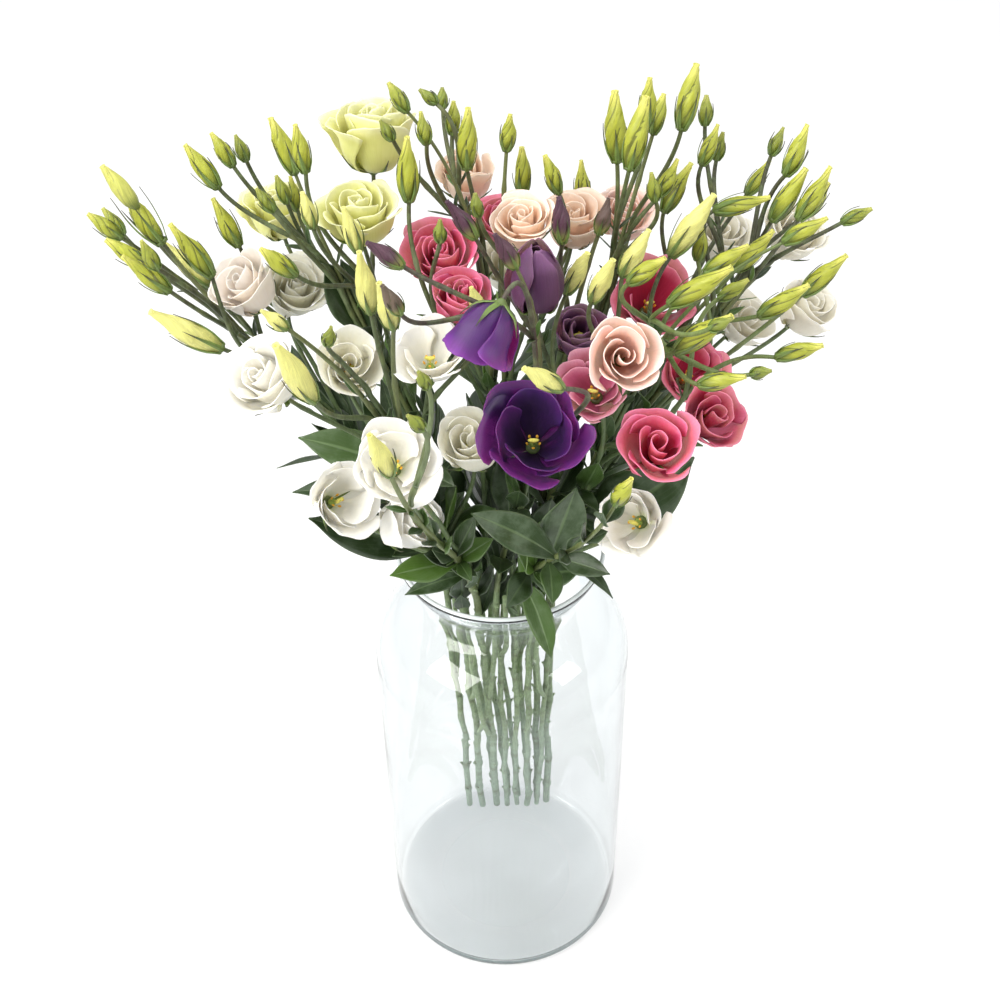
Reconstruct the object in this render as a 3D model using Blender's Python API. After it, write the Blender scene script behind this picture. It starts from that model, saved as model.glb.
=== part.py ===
"""A bouquet of lisianthus standing in a tall clear glass vase.

The frame: the origin is the middle of the vase's underside, +Z is up, +X is to the right of the
viewer and -Y is towards the viewer. The stems stand on the far side of the vase's floor, lean
forward through its neck and fan out above it.
"""
import math

import bmesh
import bpy
import numpy as np

# Driving dimensions, in metres
CM = 0.01
VASE_HEIGHT = 0.400
BODY_RADIUS = 0.095
BASE_RADIUS = 0.086
BASE_ROUND = 0.010
NECK_RADIUS = 0.051
LIP_RADIUS = 0.0745
WALL = 0.0030
FLOOR = 0.0080
SHOULDER_START = 0.294
NECK_HEIGHT = 0.362
VASE_SEGMENTS = 28
SEAT_GAP = 0.0003

STEM_FOOT_RADIUS = 0.0031
STEM_NECK_RADIUS = 0.0028
STEM_TOP_RADIUS = 0.0014
BRANCH_ROOT_RADIUS = 0.0015
BRANCH_TIP_RADIUS = 0.0011
CALYX_RADIUS = 0.0040
CALYX_HEIGHT = 0.0035
BUD_GIRTH = 0.0024
BUD_FATNESS = 0.088
SLIM_BUD = 0.0235
LONG_BRANCH = 0.090
NECK_STEP = 59
LEAD_STEPS = 60
BRANCH_STEPS = 20
BLADE = 0.0008
LEAF_ROWS = 5

# How the pieces are kept clear of each other: the least gap, the lowest leaf above the lip, and
# the first and last stretch of a branch, which may touch what it grows from and what it carries.
CLEAR = 0.0011
LEAF_CLEAR = 0.0007
LOWEST_LEAF = 0.413
BRANCH_REST = 0.016
BLOOM_REST = 0.018
LEAF_REST = 0.014
LEAD_BEND = 0.012
LEAD_BENDS = 41
BRANCH_BEND = 0.009
BRANCH_BENDS = 13
BRANCH_SPAN = (0.032, 0.260)
BLOOM_BRANCH = 0.110
BUD_BRANCH = 0.085
BRANCH_ROOTS = 14
CROWDED_FORK = 0.009
LEAF_TURN = 9.0
LEAF_LIFTS = (0.0, 0.012, -0.012, 0.024, -0.022)
# A bud that has no room slides along the line of sight, by these steps, which rises by this much
# for each metre towards the viewer.
SIGHT_SLOPE = 0.72
SLIDES = (0.0, 0.006, -0.006, 0.012, -0.012, 0.018, -0.018, 0.026, -0.026)
VASE_OWNER = 999
FIRST_BLOOM_OWNER = 100

# Each spray: the foot on the vase's floor (x, y) and the place in the neck (x, y), cm.
SPRAYS = {
    "white_left": ((-3.2, 7.1), (-3.9, -1.0)),
    "white_middle": ((-2.0, 7.0), (-2.9, -2.2)),
    "white_low_left": ((-0.7, 7.1), (-1.7, -2.9)),
    "purple_front": ((0.25, 7.0), (-0.3, -3.1)),
    "white_low_right": ((1.15, 7.1), (0.8, -3.1)),
    "peach_right": ((2.05, 7.0), (2.1, -2.7)),
    "rose_right": ((2.95, 7.1), (3.7, -1.3)),
    "white_far_left": ((-0.7, 8.05), (-3.3, 0.8)),
    "yellow_left": ((0.35, 8.1), (-1.9, 0.9)),
    "pink_middle": ((1.3, 8.05), (-0.9, 0.6)),
    "peach_middle": ((2.2, 8.0), (0.9, 0.9)),
    "purple_back": ((3.0, 7.8), (2.6, 0.8)),
    "white_right": ((3.85, 7.4), (3.6, 0.6)),
}

# The blooms of each spray: name, kind, middle of the cup (x, y, z) in cm, the way it faces as the
# azimuth from the viewer's side towards +X and the elevation in degrees, diameter in cm, colour.
BLOOMS = {
    "white_low_left": (
        ("white_open_left", "open", (-5.9, -13.5, 59.0), (10, 50), 4.8, "white"),
        ("white_side_left", "open", (-9.8, -10.0, 53.3), (45, 38), 4.5, "white"),
        ("white_low_left", "bell", (-6.0, -8.5, 49.9), (60, 45), 4.1, "white"),
    ),
    "white_left": (
        ("white_ruffled_left", "rose", (-13.3, -9.0, 61.6), (-40, 56), 4.5, "white"),
        ("white_goblet_left", "open", (-9.2, -3.0, 58.0), (20, 55), 4.5, "cream"),
    ),
    "white_middle": (
        ("white_cup_middle", "open", (-4.0, -6.5, 61.2), (0, 72), 4.5, "white"),
        ("white_bell_middle", "bell", (-1.8, -7.0, 54.9), (-20, 72), 4.1, "cream"),
    ),
    "white_far_left": (
        ("blush_rose_far_left", "rose", (-15.5, 1.0, 61.2), (-60, 60), 4.2, "blush"),
        ("cream_bell_far_left", "bell", (-13.3, 4.5, 58.5), (40, 65), 4.1, "cream"),
    ),
    "yellow_left": (
        ("yellow_rose_top", "rose", (-7.6, 7.0, 68.1), (170, 80), 5.6, "yellow"),
        ("yellow_rose_front", "rose", (-8.3, 1.8, 65.6), (-10, 82), 4.5, "yellow"),
        ("yellow_rose_back", "rose", (-14.4, 9.0, 61.6), (-100, 80), 4.5, "yellow"),
    ),
    "pink_middle": (
        ("pink_rose_middle", "rose", (-3.4, 1.5, 62.8), (-5, 64), 4.5, "pink"),
        ("pink_cup_middle", "bell", (-2.2, -3.2, 63.0), (30, 70), 3.6, "pink"),
        ("pink_rose_behind", "rose", (0.4, 6.4, 62.2), (20, 70), 3.6, "pink"),
    ),
    "peach_middle": (
        ("peach_rose_top", "bell", (-1.9, 9.5, 63.7), (0, 75), 3.7, "peach"),
        ("peach_rose_side", "rose", (1.6, 0.0, 66.1), (-20, 78), 3.7, "peach"),
        ("peach_rose_behind", "rose", (4.9, 5.0, 63.0), (10, 78), 4.1, "peach"),
        ("cream_cup_behind", "bell", (0.5, 8.5, 57.5), (-20, 75), 3.7, "cream"),
    ),
    "purple_back": (
        ("purple_bell_upright", "closed", (2.3, -4.0, 65.2), (0, 84), 3.9, "purple"),
        ("purple_bell_back", "bell", (5.0, -1.0, 58.7), (20, 70), 3.4, "purple"),
    ),
    "purple_front": (
        ("purple_nodding", "bell", (-0.5, -12.0, 67.2), (-50, -55), 4.1, "purple"),
        ("purple_open_front", "open", (1.9, -14.0, 61.2), (0, 54), 5.8, "purple"),
    ),
    "peach_right": (
        ("blush_rose_front", "rose", (6.8, -11.5, 64.9), (5, 42), 4.2, "blush"),
        ("blush_rose_back", "rose", (8.4, 8.5, 61.3), (20, 75), 3.9, "blush"),
    ),
    "rose_right": (
        ("rose_cup_front", "rose", (8.9, -13.0, 59.6), (0, 58), 4.6, "pink"),
        ("rose_cup_right", "open", (12.6, -7.0, 56.7), (40, 50), 4.5, "rose"),
        ("rose_open_back", "open", (12.0, -1.4, 55.8), (30, 58), 4.4, "rose"),
        ("rose_open_behind", "open", (9.8, 2.4, 58.8), (15, 60), 5.2, "rose"),
        ("rose_cup_middle", "open", (5.7, -6.5, 58.6), (-20, 55), 4.2, "dusty"),
    ),
    "white_right": (
        ("white_rose_back_right", "rose", (14.9, 8.5, 59.4), (20, 75), 4.1, "white"),
        ("white_cup_back_right", "bell", (19.4, 7.5, 60.3), (40, 65), 3.9, "white"),
        ("white_cup_right", "open", (16.4, 6.0, 54.4), (60, 55), 4.3, "white"),
        ("white_rose_far_right", "rose", (19.7, 2.0, 58.2), (60, 58), 4.0, "white"),
    ),
    "white_low_right": (
        ("white_open_right", "open", (7.9, -13.0, 53.9), (-30, 38), 4.3, "white"),
    ),
}

# The buds of each spray: root of the bud (x, y, z) in cm, lean towards +X in degrees, length in cm.
# The first one ends the main stem.
BUDS = {
    "white_low_left": (
        (-5.8, -18.0, 62.3, -10, 3.9),
    ),
    "white_left": (
        (-11.6, -10.0, 66.1, -40, 2.2), (-10.1, -13.0, 63.4, -20, 5.2),
    ),
    "white_middle": (
        (-5.8, -9.0, 65.3, -10, 3.8), (-7.3, -6.0, 64.3, -5, 4.6), (-0.9, -5.4, 63.5, -15, 2.4),
    ),
    "purple_front": (
        (1.1, -6.0, 67.2, -25, 2.9), (-5.1, -9.0, 69.4, -45, 2.9), (-5.2, -11.4, 68.0, -20, 2.5),
        (3.3, -16.0, 66.3, -45, 3.2),
    ),
    "white_low_right": (
        (6.4, -16.5, 58.6, 15, 3.0),
    ),
    "peach_right": (
        (9.8, 6.6, 68.5, 15, 2.7), (7.4, 3.6, 68.3, -5, 4.8), (7.9, 1.0, 69.3, 10, 4.9),
        (9.1, 4.4, 70.2, 0, 3.4), (11.2, 4.0, 70.2, 10, 4.5), (9.9, 2.0, 66.9, 25, 2.8),
        (9.5, 0.4, 67.5, -10, 2.1), (7.5, -2.0, 63.9, 25, 3.8), (5.5, -5.4, 64.4, 20, 3.6),
        (4.2, -2.6, 63.1, 20, 3.5),
    ),
    "rose_right": (
        (17.1, -1.2, 65.5, 55, 3.3), (18.7, -1.0, 61.6, 40, 4.1), (15.4, -5.0, 62.9, 50, 3.7),
        (16.4, -6.4, 60.9, 65, 3.1), (12.3, -3.0, 64.6, 50, 3.4), (14.9, 1.6, 61.7, 40, 3.9),
        (9.8, -7.0, 65.2, 50, 4.7), (13.0, -4.6, 63.9, 50, 2.2), (10.0, -10.0, 64.2, 40, 4.5),
        (7.4, -7.4, 67.0, 45, 2.9), (11.1, -12.0, 63.3, 65, 2.9),
        (12.4, 1.0, 62.9, 5, 2.5),
    ),
    "white_far_left": (
        (-20.3, 1.0, 64.7, -30, 6.0), (-19.4, -3.0, 63.9, -45, 3.8), (-20.9, -1.2, 64.5, -50, 3.1),
        (-22.7, 1.0, 65.1, -50, 2.6), (-23.3, 3.6, 63.7, -30, 2.2), (-17.2, -1.0, 63.6, -30, 4.6),
        (-18.1, 2.2, 60.8, -40, 4.4), (-16.4, -5.0, 61.1, -55, 5.3), (-21.9, 4.4, 63.6, -25, 2.2),
        (-19.7, -3.6, 65.9, -25, 2.2), (-16.1, 3.2, 63.0, -25, 3.7),
    ),
    "yellow_left": (
        (-12.2, 4.0, 67.6, -15, 3.9), (-17.0, 4.0, 66.7, -35, 3.6), (-16.1, 5.0, 67.6, -30, 2.7),
        (-15.6, 7.0, 66.8, -20, 1.9), (-11.2, 1.4, 69.2, -10, 3.2), (-13.5, 2.0, 66.2, -30, 1.9),
        (-13.1, 5.4, 64.7, -15, 2.1), (-10.8, -1.0, 66.9, -10, 2.6), (-12.7, 8.0, 62.4, -10, 2.6),
        (-11.8, -3.0, 64.9, -45, 3.1), (-8.1, -2.4, 66.1, -10, 3.4),
    ),
    "pink_middle": (
        (-5.1, 3.0, 72.2, -30, 2.2),
        (-4.0, 2.2, 70.5, -10, 2.3), (-2.6, 6.0, 69.0, 5, 2.4), (-1.7, 3.0, 68.3, 0, 4.1),
        (-5.1, 0.0, 68.0, 0, 4.6),
    ),
    "purple_back": (
        (6.2, 0.5, 65.2, 15, 2.6), (3.9, -1.9, 66.2, -5, 3.3), (-1.2, -3.0, 67.3, -30, 3.3),
    ),
    "peach_middle": (
        (0.7, 3.2, 69.4, 5, 2.6), (1.7, 4.6, 65.6, 0, 3.2), (3.9, 3.6, 66.2, -20, 2.8),
        (5.7, 7.6, 62.9, -5, 3.2),
    ),
    "white_right": (
        (18.5, 2.0, 65.1, 30, 4.1), (13.1, 7.4, 68.6, 0, 2.1), (12.6, 4.0, 67.8, 20, 2.9),
        (14.1, 8.0, 65.8, 10, 2.0), (10.6, 5.0, 63.9, 25, 3.7), (13.3, 2.0, 65.8, 80, 3.7),
        (10.6, 0.0, 63.9, 30, 5.2), (17.3, 6.6, 66.9, 20, 2.0), (17.8, 4.0, 67.0, 25, 3.6),
        (16.1, 6.4, 64.3, 35, 2.8), (17.1, 3.0, 64.4, 30, 4.3), (19.5, 5.0, 63.4, 35, 2.9),
        (21.2, 2.0, 64.8, 60, 2.1),
    ),
}

# The large leaves of each spray: tip (x, y, z), length and width in cm, and for some of them how far
# the blade is turned to face the front, from 0 to 1.
LEAVES = {
    "white_low_left": (
        (-7.4, -9.5, 49.0, 6.0, 2.0), (-6.3, -7.5, 42.6, 5.0, 1.5), (-4.6, -10.0, 50.2, 5.5, 1.3),
    ),
    "white_left": (
        (-11.8, -6.5, 48.5, 12.5, 3.2, 0.9), (-12.8, -4.5, 53.8, 8.0, 2.8, 0.8), (-13.7, -5.0, 49.6, 9.0, 2.4),
        (-9.5, -4.0, 56.3, 8.0, 1.6), (-8.0, -4.0, 48.0, 6.5, 2.4),
    ),
    "white_middle": (
        (-2.4, -6.0, 50.4, 7.5, 3.4), (-3.7, -9.0, 52.8, 4.0, 1.3), (-1.0, -9.0, 53.6, 4.0, 1.8),
        (-4.6, -2.0, 50.0, 6.5, 2.4), (-3.4, -7.0, 46.5, 5.5, 2.2),
    ),
    "purple_front": (
        (-1.2, -9.5, 49.2, 3.6, 1.4), (-0.2, -8.8, 45.6, 5.5, 1.7), (1.6, -9.4, 49.6, 3.6, 1.4),
        (4.2, -9.0, 54.8, 5.0, 2.2), (0.8, -3.0, 52.0, 7.0, 2.6),
    ),
    "white_low_right": (
        (2.6, -8.6, 49.8, 7.5, 2.4), (3.6, -7.6, 48.4, 6.0, 3.0), (4.6, -9.6, 53.6, 6.5, 3.0),
        (3.5, -9.6, 37.6, 6.0, 1.9), (2.0, -5.0, 55.0, 6.5, 2.4),
    ),
    "peach_right": (
        (7.4, -12.0, 54.4, 4.6, 2.3), (6.9, -6.0, 48.0, 5.5, 1.9), (7.6, -7.0, 41.3, 7.0, 1.3),
        (5.6, -2.0, 50.5, 6.5, 2.4), (3.6, -3.0, 47.0, 6.0, 2.6),
    ),
    "rose_right": (
        (12.5, -4.0, 51.2, 13.5, 4.8, 0.9), (9.0, -7.5, 51.6, 7.5, 2.4), (9.8, -6.0, 45.4, 7.0, 2.6),
    ),
    "white_far_left": (
        (-14.3, -4.0, 50.8, 8.0, 1.3), (-15.4, -4.0, 56.6, 7.0, 1.6), (-9.0, 4.0, 46.0, 6.5, 2.6),
        (-11.0, 5.0, 52.5, 7.0, 2.6), (-7.0, 0.0, 50.5, 7.0, 2.4),
    ),
    "yellow_left": (
        (-10.6, 3.0, 61.6, 6.5, 2.6, 0.8), (-8.6, 5.0, 61.0, 7.0, 2.8, 0.8), (-5.0, 8.0, 47.5, 7.0, 2.6),
        (-7.6, 6.5, 53.5, 7.0, 2.4), (-4.0, 1.0, 47.5, 6.5, 2.6),
    ),
    "pink_middle": (
        (-1.4, 9.0, 49.0, 7.0, 2.8), (-4.4, 5.5, 54.5, 7.0, 2.4), (-2.4, 6.0, 43.6, 6.0, 2.4),
        (-1.6, 0.5, 50.0, 6.5, 2.6),
    ),
    "purple_back": (
        (2.4, 8.0, 52.5, 7.0, 2.6), (1.0, 6.6, 45.0, 6.0, 2.4), (-0.6, 3.0, 56.0, 6.0, 2.2),
        (2.0, 0.5, 49.0, 6.5, 2.6),
    ),
    "peach_middle": (
        (5.6, 7.4, 47.4, 7.0, 2.6), (4.4, 6.4, 55.5, 7.0, 2.4), (6.4, 1.0, 53.0, 6.5, 2.4),
        (3.4, 4.0, 43.8, 6.0, 2.4),
    ),
    "white_right": (
        (10.4, 5.6, 46.5, 7.5, 2.8), (12.2, 5.4, 51.0, 7.5, 2.6), (9.2, 8.0, 53.0, 7.0, 2.4),
        (8.8, 1.6, 44.0, 6.0, 2.4),
    ),
}

# The cup of each kind of bloom: its height and the reach of its petals from the axis for one
# radius, at equal steps from the receptacle to the rim, and the petals of each whorl as
# (number, reach, height, spread in degrees).
CUPS = {
    "open": (1.30, (0.08, 0.40, 0.70, 0.86, 0.93), ((5, 1.00, 1.00, 50),)),
    "bell": (1.65, (0.08, 0.54, 0.82, 0.87, 0.89), ((5, 1.00, 1.00, 50),)),
    "closed": (2.40, (0.08, 0.74, 0.88, 0.66, 0.22), ((5, 1.00, 1.00, 50),)),
    "rose": (1.45, (0.08, 0.54, 0.81, 0.88, 0.94), ((5, 1.00, 1.00, 46), (5, 0.60, 1.04, 50))),
}
PETAL_GRID = {
    "open": ((3, (0.42, 0.72, 1.0)),),
    "bell": ((3, (0.48, 1.0)),),
    "closed": ((3, (0.40, 0.72, 1.0)),),
    "rose": ((3, (0.48, 1.0)), (2, (0.48, 1.0))),
}
RISE = (0.0, 0.14, 0.42, 0.74, 1.0)
PETAL_SPREAD = (0.64, 0.66, 0.72, 0.94, 1.0)
PETAL_TWIST = 0.12
PETAL_DROP = 0.20

COLOURS = {
    "white": (0.86, 0.84, 0.76),
    "cream": (0.84, 0.80, 0.62),
    "blush": (0.86, 0.62, 0.52),
    "peach": (0.86, 0.58, 0.42),
    "yellow": (0.80, 0.82, 0.38),
    "pink": (0.78, 0.16, 0.28),
    "rose": (0.56, 0.06, 0.12),
    "dusty": (0.52, 0.14, 0.24),
    "purple": (0.10, 0.02, 0.30),
}


def unit(vector):
    """The vector at length one."""
    return np.asarray(vector, float) / (np.linalg.norm(vector) + 1e-12)


def facing(azimuth, elevation):
    """The way that a bloom faces: azimuth from -Y towards +X, elevation above the level."""
    turn, rise = math.radians(azimuth), math.radians(elevation)
    return np.array([math.sin(turn) * math.cos(rise), -math.cos(turn) * math.cos(rise), math.sin(rise)])


def leaning(lean, depth):
    """The way that a bud points: lean towards +X, and a little outwards by its depth."""
    turn = math.radians(lean)
    outwards = 0.25 * max(-1.0, min(1.0, (depth / CM + 2.0) / 10.0))
    return unit([math.sin(turn), outwards, math.cos(turn)])


def bezier(p0, p1, p2, p3, steps):
    """Points along a cubic curve."""
    t = np.linspace(0.0, 1.0, steps)[:, None]
    return (1 - t) ** 3 * p0 + 3 * t * (1 - t) ** 2 * p1 + 3 * t**2 * (1 - t) * p2 + t**3 * p3


def through(values, at):
    """A smooth curve through equally spaced values."""
    values = np.asarray(values, float)
    at = np.clip(np.asarray(at, float), 0.0, 1.0) * (len(values) - 1)
    cell = np.minimum(at.astype(int), len(values) - 2)
    t = at - cell
    before, after = np.maximum(cell - 1, 0), np.minimum(cell + 2, len(values) - 1)
    a, b, c, d = values[before], values[cell], values[cell + 1], values[after]
    return b + 0.5 * t * (c - a + t * (2 * a - 5 * b + 4 * c - d + t * (3 * (b - c) + d - a)))


def length_of(points):
    """The length of a line through these points."""
    return float(np.linalg.norm(np.diff(points, axis=0), axis=1).sum())


def tangents(points):
    """The unit direction of a line at each of its points."""
    run = np.gradient(points, axis=0)
    return run / (np.linalg.norm(run, axis=1, keepdims=True) + 1e-12)


class Room:
    """Balls along everything placed so far, which keep the pieces clear of each other."""

    def __init__(self):
        self.centres = np.zeros((0, 3))
        self.radii = np.zeros(0)
        self.owners = np.zeros(0, int)

    def add(self, centres, radii, owner):
        radii = np.broadcast_to(radii, len(centres))
        self.centres = np.vstack([self.centres, centres])
        self.radii = np.r_[self.radii, radii]
        self.owners = np.r_[self.owners, np.full(len(centres), owner)]

    def gap(self, centres, radii, owner, free=0.0, partner=-1):
        """The least gap to what is placed.

        The first stretch, free, may touch its own spray, and the last one the partner, which is
        the bloom that it carries.
        """
        radii = np.broadcast_to(radii, len(centres))
        reach = radii.max() + 0.02
        near = np.all(self.centres > centres.min(0) - reach - 0.02, axis=1)
        near &= np.all(self.centres < centres.max(0) + reach + 0.02, axis=1)
        if not near.any():
            return 1.0
        others, sizes, owners = self.centres[near], self.radii[near], self.owners[near]
        apart = np.linalg.norm(centres[:, None] - others[None], axis=2) - sizes[None] - radii[:, None]
        at_root = np.linalg.norm(centres - centres[0], axis=1) < free
        apart[at_root[:, None] & (owners == owner)[None]] = 1.0
        at_tip = np.linalg.norm(centres - centres[-1], axis=1) < BLOOM_REST
        apart[at_tip[:, None] & (owners == partner)[None]] = 1.0
        return float(apart.min())


def bloom_frame(place):
    """The base, axis and two cross directions of a bloom, with its radius and height."""
    _, kind, middle, way, across, _ = place
    axis = facing(*way)
    radius = across * CM / 2
    height = CUPS[kind][0] * radius
    side = unit(np.cross(axis, (0.0, 0.0, 1.0) if abs(axis[2]) < 0.98 else (0.0, -1.0, 0.0)))
    base = np.array(middle) * CM - axis * height * 0.5
    return base, axis, side, np.cross(axis, side), radius, height


def bloom_balls(place):
    """Balls that fill the wall of a bloom's cup."""
    base, axis, side, up, radius, height = bloom_frame(place)
    reach = CUPS[place[1]][1]
    centres, sizes = [], []
    for level, count in ((0.25, 5), (0.5, 9), (0.75, 12), (0.97, 14)):
        ring = radius * float(through(reach, through((0, 0.36, 0.55, 0.77, 1.0), level)))
        size = 0.30 * radius
        for step in range(count):
            turn = 2 * math.pi * step / count
            spoke = math.cos(turn) * side + math.sin(turn) * up
            centres.append(base + axis * height * (level - 0.05) + spoke * max(ring - 0.7 * size, 0.0))
            sizes.append(size)
    centres.append(base + axis * height * 0.62)
    sizes.append(0.5 * radius)
    return np.array(centres), np.array(sizes)


def bud_radius(length, at):
    """The radius of a bud along its length: calyx, belly and narrow twisted tip."""
    belly = BUD_GIRTH + BUD_FATNESS * length
    return belly * through((0.42, 0.86, 1.0, 0.80, 0.46, 0.24), at)


class Spray:
    """One leafy stem: its tubes, with what each ends in, its leaves and the places of its forks."""

    def __init__(self, name, number):
        self.name = name
        self.number = number
        self.tubes = []
        self.leaves = []
        self.forks = []


def lead_line(name, tip, way):
    """The main stem from its foot on the vase's floor, through the neck, to its tip."""
    foot, neck = SPRAYS[name]
    start = np.array([foot[0] * CM, foot[1] * CM, FLOOR + SEAT_GAP])
    throat = np.array([neck[0] * CM, neck[1] * CM, NECK_HEIGHT + 0.012])
    rise = unit(throat - start)
    reach = np.linalg.norm(tip - throat)
    lean = unit(rise + 0.7 * unit(tip - throat))
    upper = [throat, throat + lean * reach * 0.35, tip - way * reach * 0.30, tip]
    return start, throat, upper


def bud_body(tip, way, length):
    """Points and radii along a bud."""
    at = np.linspace(0.0, 1.0, 7)
    return tip + way * length * at[:, None], bud_radius(length, at)


def grow_lead(spray, room, tip, way, ends):
    """The main stem, bent a little wherever it would cross another piece."""
    start, throat, upper = lead_line(spray.name, tip, way)
    body, bulk = bud_body(tip, way, ends["length"])
    lower = np.linspace(start, throat, NECK_STEP + 1)[:-1]
    side = unit(np.cross(tip - throat, (0.0, 1.0, 0.0)))
    back = unit(np.cross(side, tip - throat))
    best = None
    for step in range(LEAD_BENDS):
        turn, size = math.radians(45.0 * step), LEAD_BEND * ((step + 7) // 8)
        bend = size * (math.cos(turn) * side + math.sin(turn) * back)
        curve = bezier(upper[0], upper[1] + 0.5 * bend, upper[2] + bend, upper[3], LEAD_STEPS)
        line = np.vstack([lower, curve])
        radii = np.r_[np.linspace(STEM_FOOT_RADIUS, STEM_NECK_RADIUS, NECK_STEP),
                      np.linspace(STEM_NECK_RADIUS, STEM_TOP_RADIUS, LEAD_STEPS)]
        gap = room.gap(np.vstack([line, body]), np.r_[radii, bulk], spray.number)
        if best is None or gap > best[0]:
            best = (gap, line, radii)
        if gap > CLEAR:
            break
    spray.tubes.append({"line": best[1], "radii": best[2], "ends": ends, "lead": True, "way": way})
    room.add(best[1], best[2], spray.number)
    room.add(body, bulk, spray.number)
    return best[0]


def roots_for(spray, tip, way, wanted):
    """Places on a spray where a branch to this tip may start, the likeliest first."""
    found = []
    for index, tube in enumerate(spray.tubes):
        line = tube["line"]
        run = tangents(line)
        first, last = (0, len(line) - 6) if tube["lead"] else (6, len(line) - 5)
        for k in range(first, last, 3):
            if line[k, 2] < LOWEST_LEAF + 0.008:
                continue
            gone = tip - line[k]
            span = np.linalg.norm(gone)
            if not BRANCH_SPAN[0] < span < BRANCH_SPAN[1]:
                continue
            leave = math.acos(np.clip(run[k] @ gone / span, -1, 1))
            arrive = math.acos(np.clip(way @ gone / span, -1, 1))
            crowd = sum(np.linalg.norm(line[k] - fork) < CROWDED_FORK for fork in spray.forks)
            cost = abs(span - wanted) / 0.04 + 2.4 * leave + 0.6 * arrive + 1.2 * crowd
            found.append((cost + (1.5 if leave > 1.1 else 0.0), index, k))
    return sorted(found)[:BRANCH_ROOTS]


def grow_branch(spray, room, tip, way, ends, wanted, partner=-1):
    """A branch to a bud or bloom, from where and by the way that leave it clear of the rest."""
    length = ends["length"] if ends["kind"] == "bud" else 0.0
    slides = SLIDES if length else SLIDES[:1]
    best = None
    for slide in slides:
        moved = tip + slide * np.array([0.0, 1.0, -SIGHT_SLOPE])
        body, bulk = bud_body(moved, way, length) if length else (np.zeros((0, 3)), np.zeros(0))
        if length and room.gap(body, bulk, spray.number) < CLEAR and slide != slides[-1]:
            continue
        for _, index, k in roots_for(spray, moved, way, wanted):
            tube = spray.tubes[index]
            root, run = tube["line"][k], tangents(tube["line"])[k]
            gone = moved - root
            span = np.linalg.norm(gone)
            side = unit(np.cross(gone, (0.0, 1.0, 0.0)))
            back = unit(np.cross(side, gone))
            leave = unit(run + 1.1 * gone / span)
            for step in range(BRANCH_BENDS):
                turn, size = math.radians(60.0 * step), BRANCH_BEND * ((step + 5) // 6)
                bend = size * (math.cos(turn) * side + math.sin(turn) * back)
                line = bezier(root, root + leave * span * 0.33 + bend, moved - way * span * 0.33 + bend,
                              moved, BRANCH_STEPS)
                radii = np.linspace(BRANCH_ROOT_RADIUS, BRANCH_TIP_RADIUS, BRANCH_STEPS)
                centres, sizes = np.vstack([line, body[1:]]), np.r_[radii, bulk[1:]]
                gap = room.gap(centres, sizes, spray.number, BRANCH_REST, partner)
                if best is None or gap > best[0]:
                    best = (gap, line, radii, centres, sizes, root)
                if gap > CLEAR:
                    break
            if best[0] > CLEAR:
                break
        if best is not None and best[0] > CLEAR:
            break
    spray.tubes.append({"line": best[1], "radii": best[2], "ends": ends, "lead": False, "way": way})
    spray.forks.append(best[5])
    room.add(best[3], best[4], spray.number)
    return best[0]


def leaf_shape(root, run, tip, width, steps, front=0.0):
    """The midrib of a leaf, its width directions and half widths."""
    gone = tip - root
    span = np.linalg.norm(gone)
    out = unit(gone - run * (gone @ run) * 0.7)
    leave = unit(0.55 * run + 0.8 * out)
    arrive = unit(gone / span - leave * 0.55)
    line = bezier(root, root + leave * span * 0.40, tip - arrive * span * 0.32, tip, steps)
    direction = tangents(line)
    upper = (run - out * 0.6) * (1.0 - front) + np.array([0.0, -0.74, 0.67]) * front
    normal = upper[None] - direction * (direction @ upper)[:, None]
    normal /= np.linalg.norm(normal, axis=1, keepdims=True) + 1e-9
    across = np.cross(direction, normal)
    at = np.linspace(0.0, 1.0, steps)
    half = 0.5 * width * through((0.16, 0.62, 0.98, 0.92, 0.58, 0.03), at)
    return line, across, normal, half


def leaf_balls(shape):
    """Balls over a leaf's blade."""
    line, across, normal, half = shape
    centres, sizes = [], []
    for share in (0.0, -0.42, 0.42, -0.86, 0.86):
        lift = 0.16 * abs(share)
        centres.append(line + (across * share + normal * lift) * half[:, None])
        sizes.append(np.minimum(0.0022, 0.25 * half + 0.0008))
    return np.vstack(centres), np.concatenate(sizes)


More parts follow.
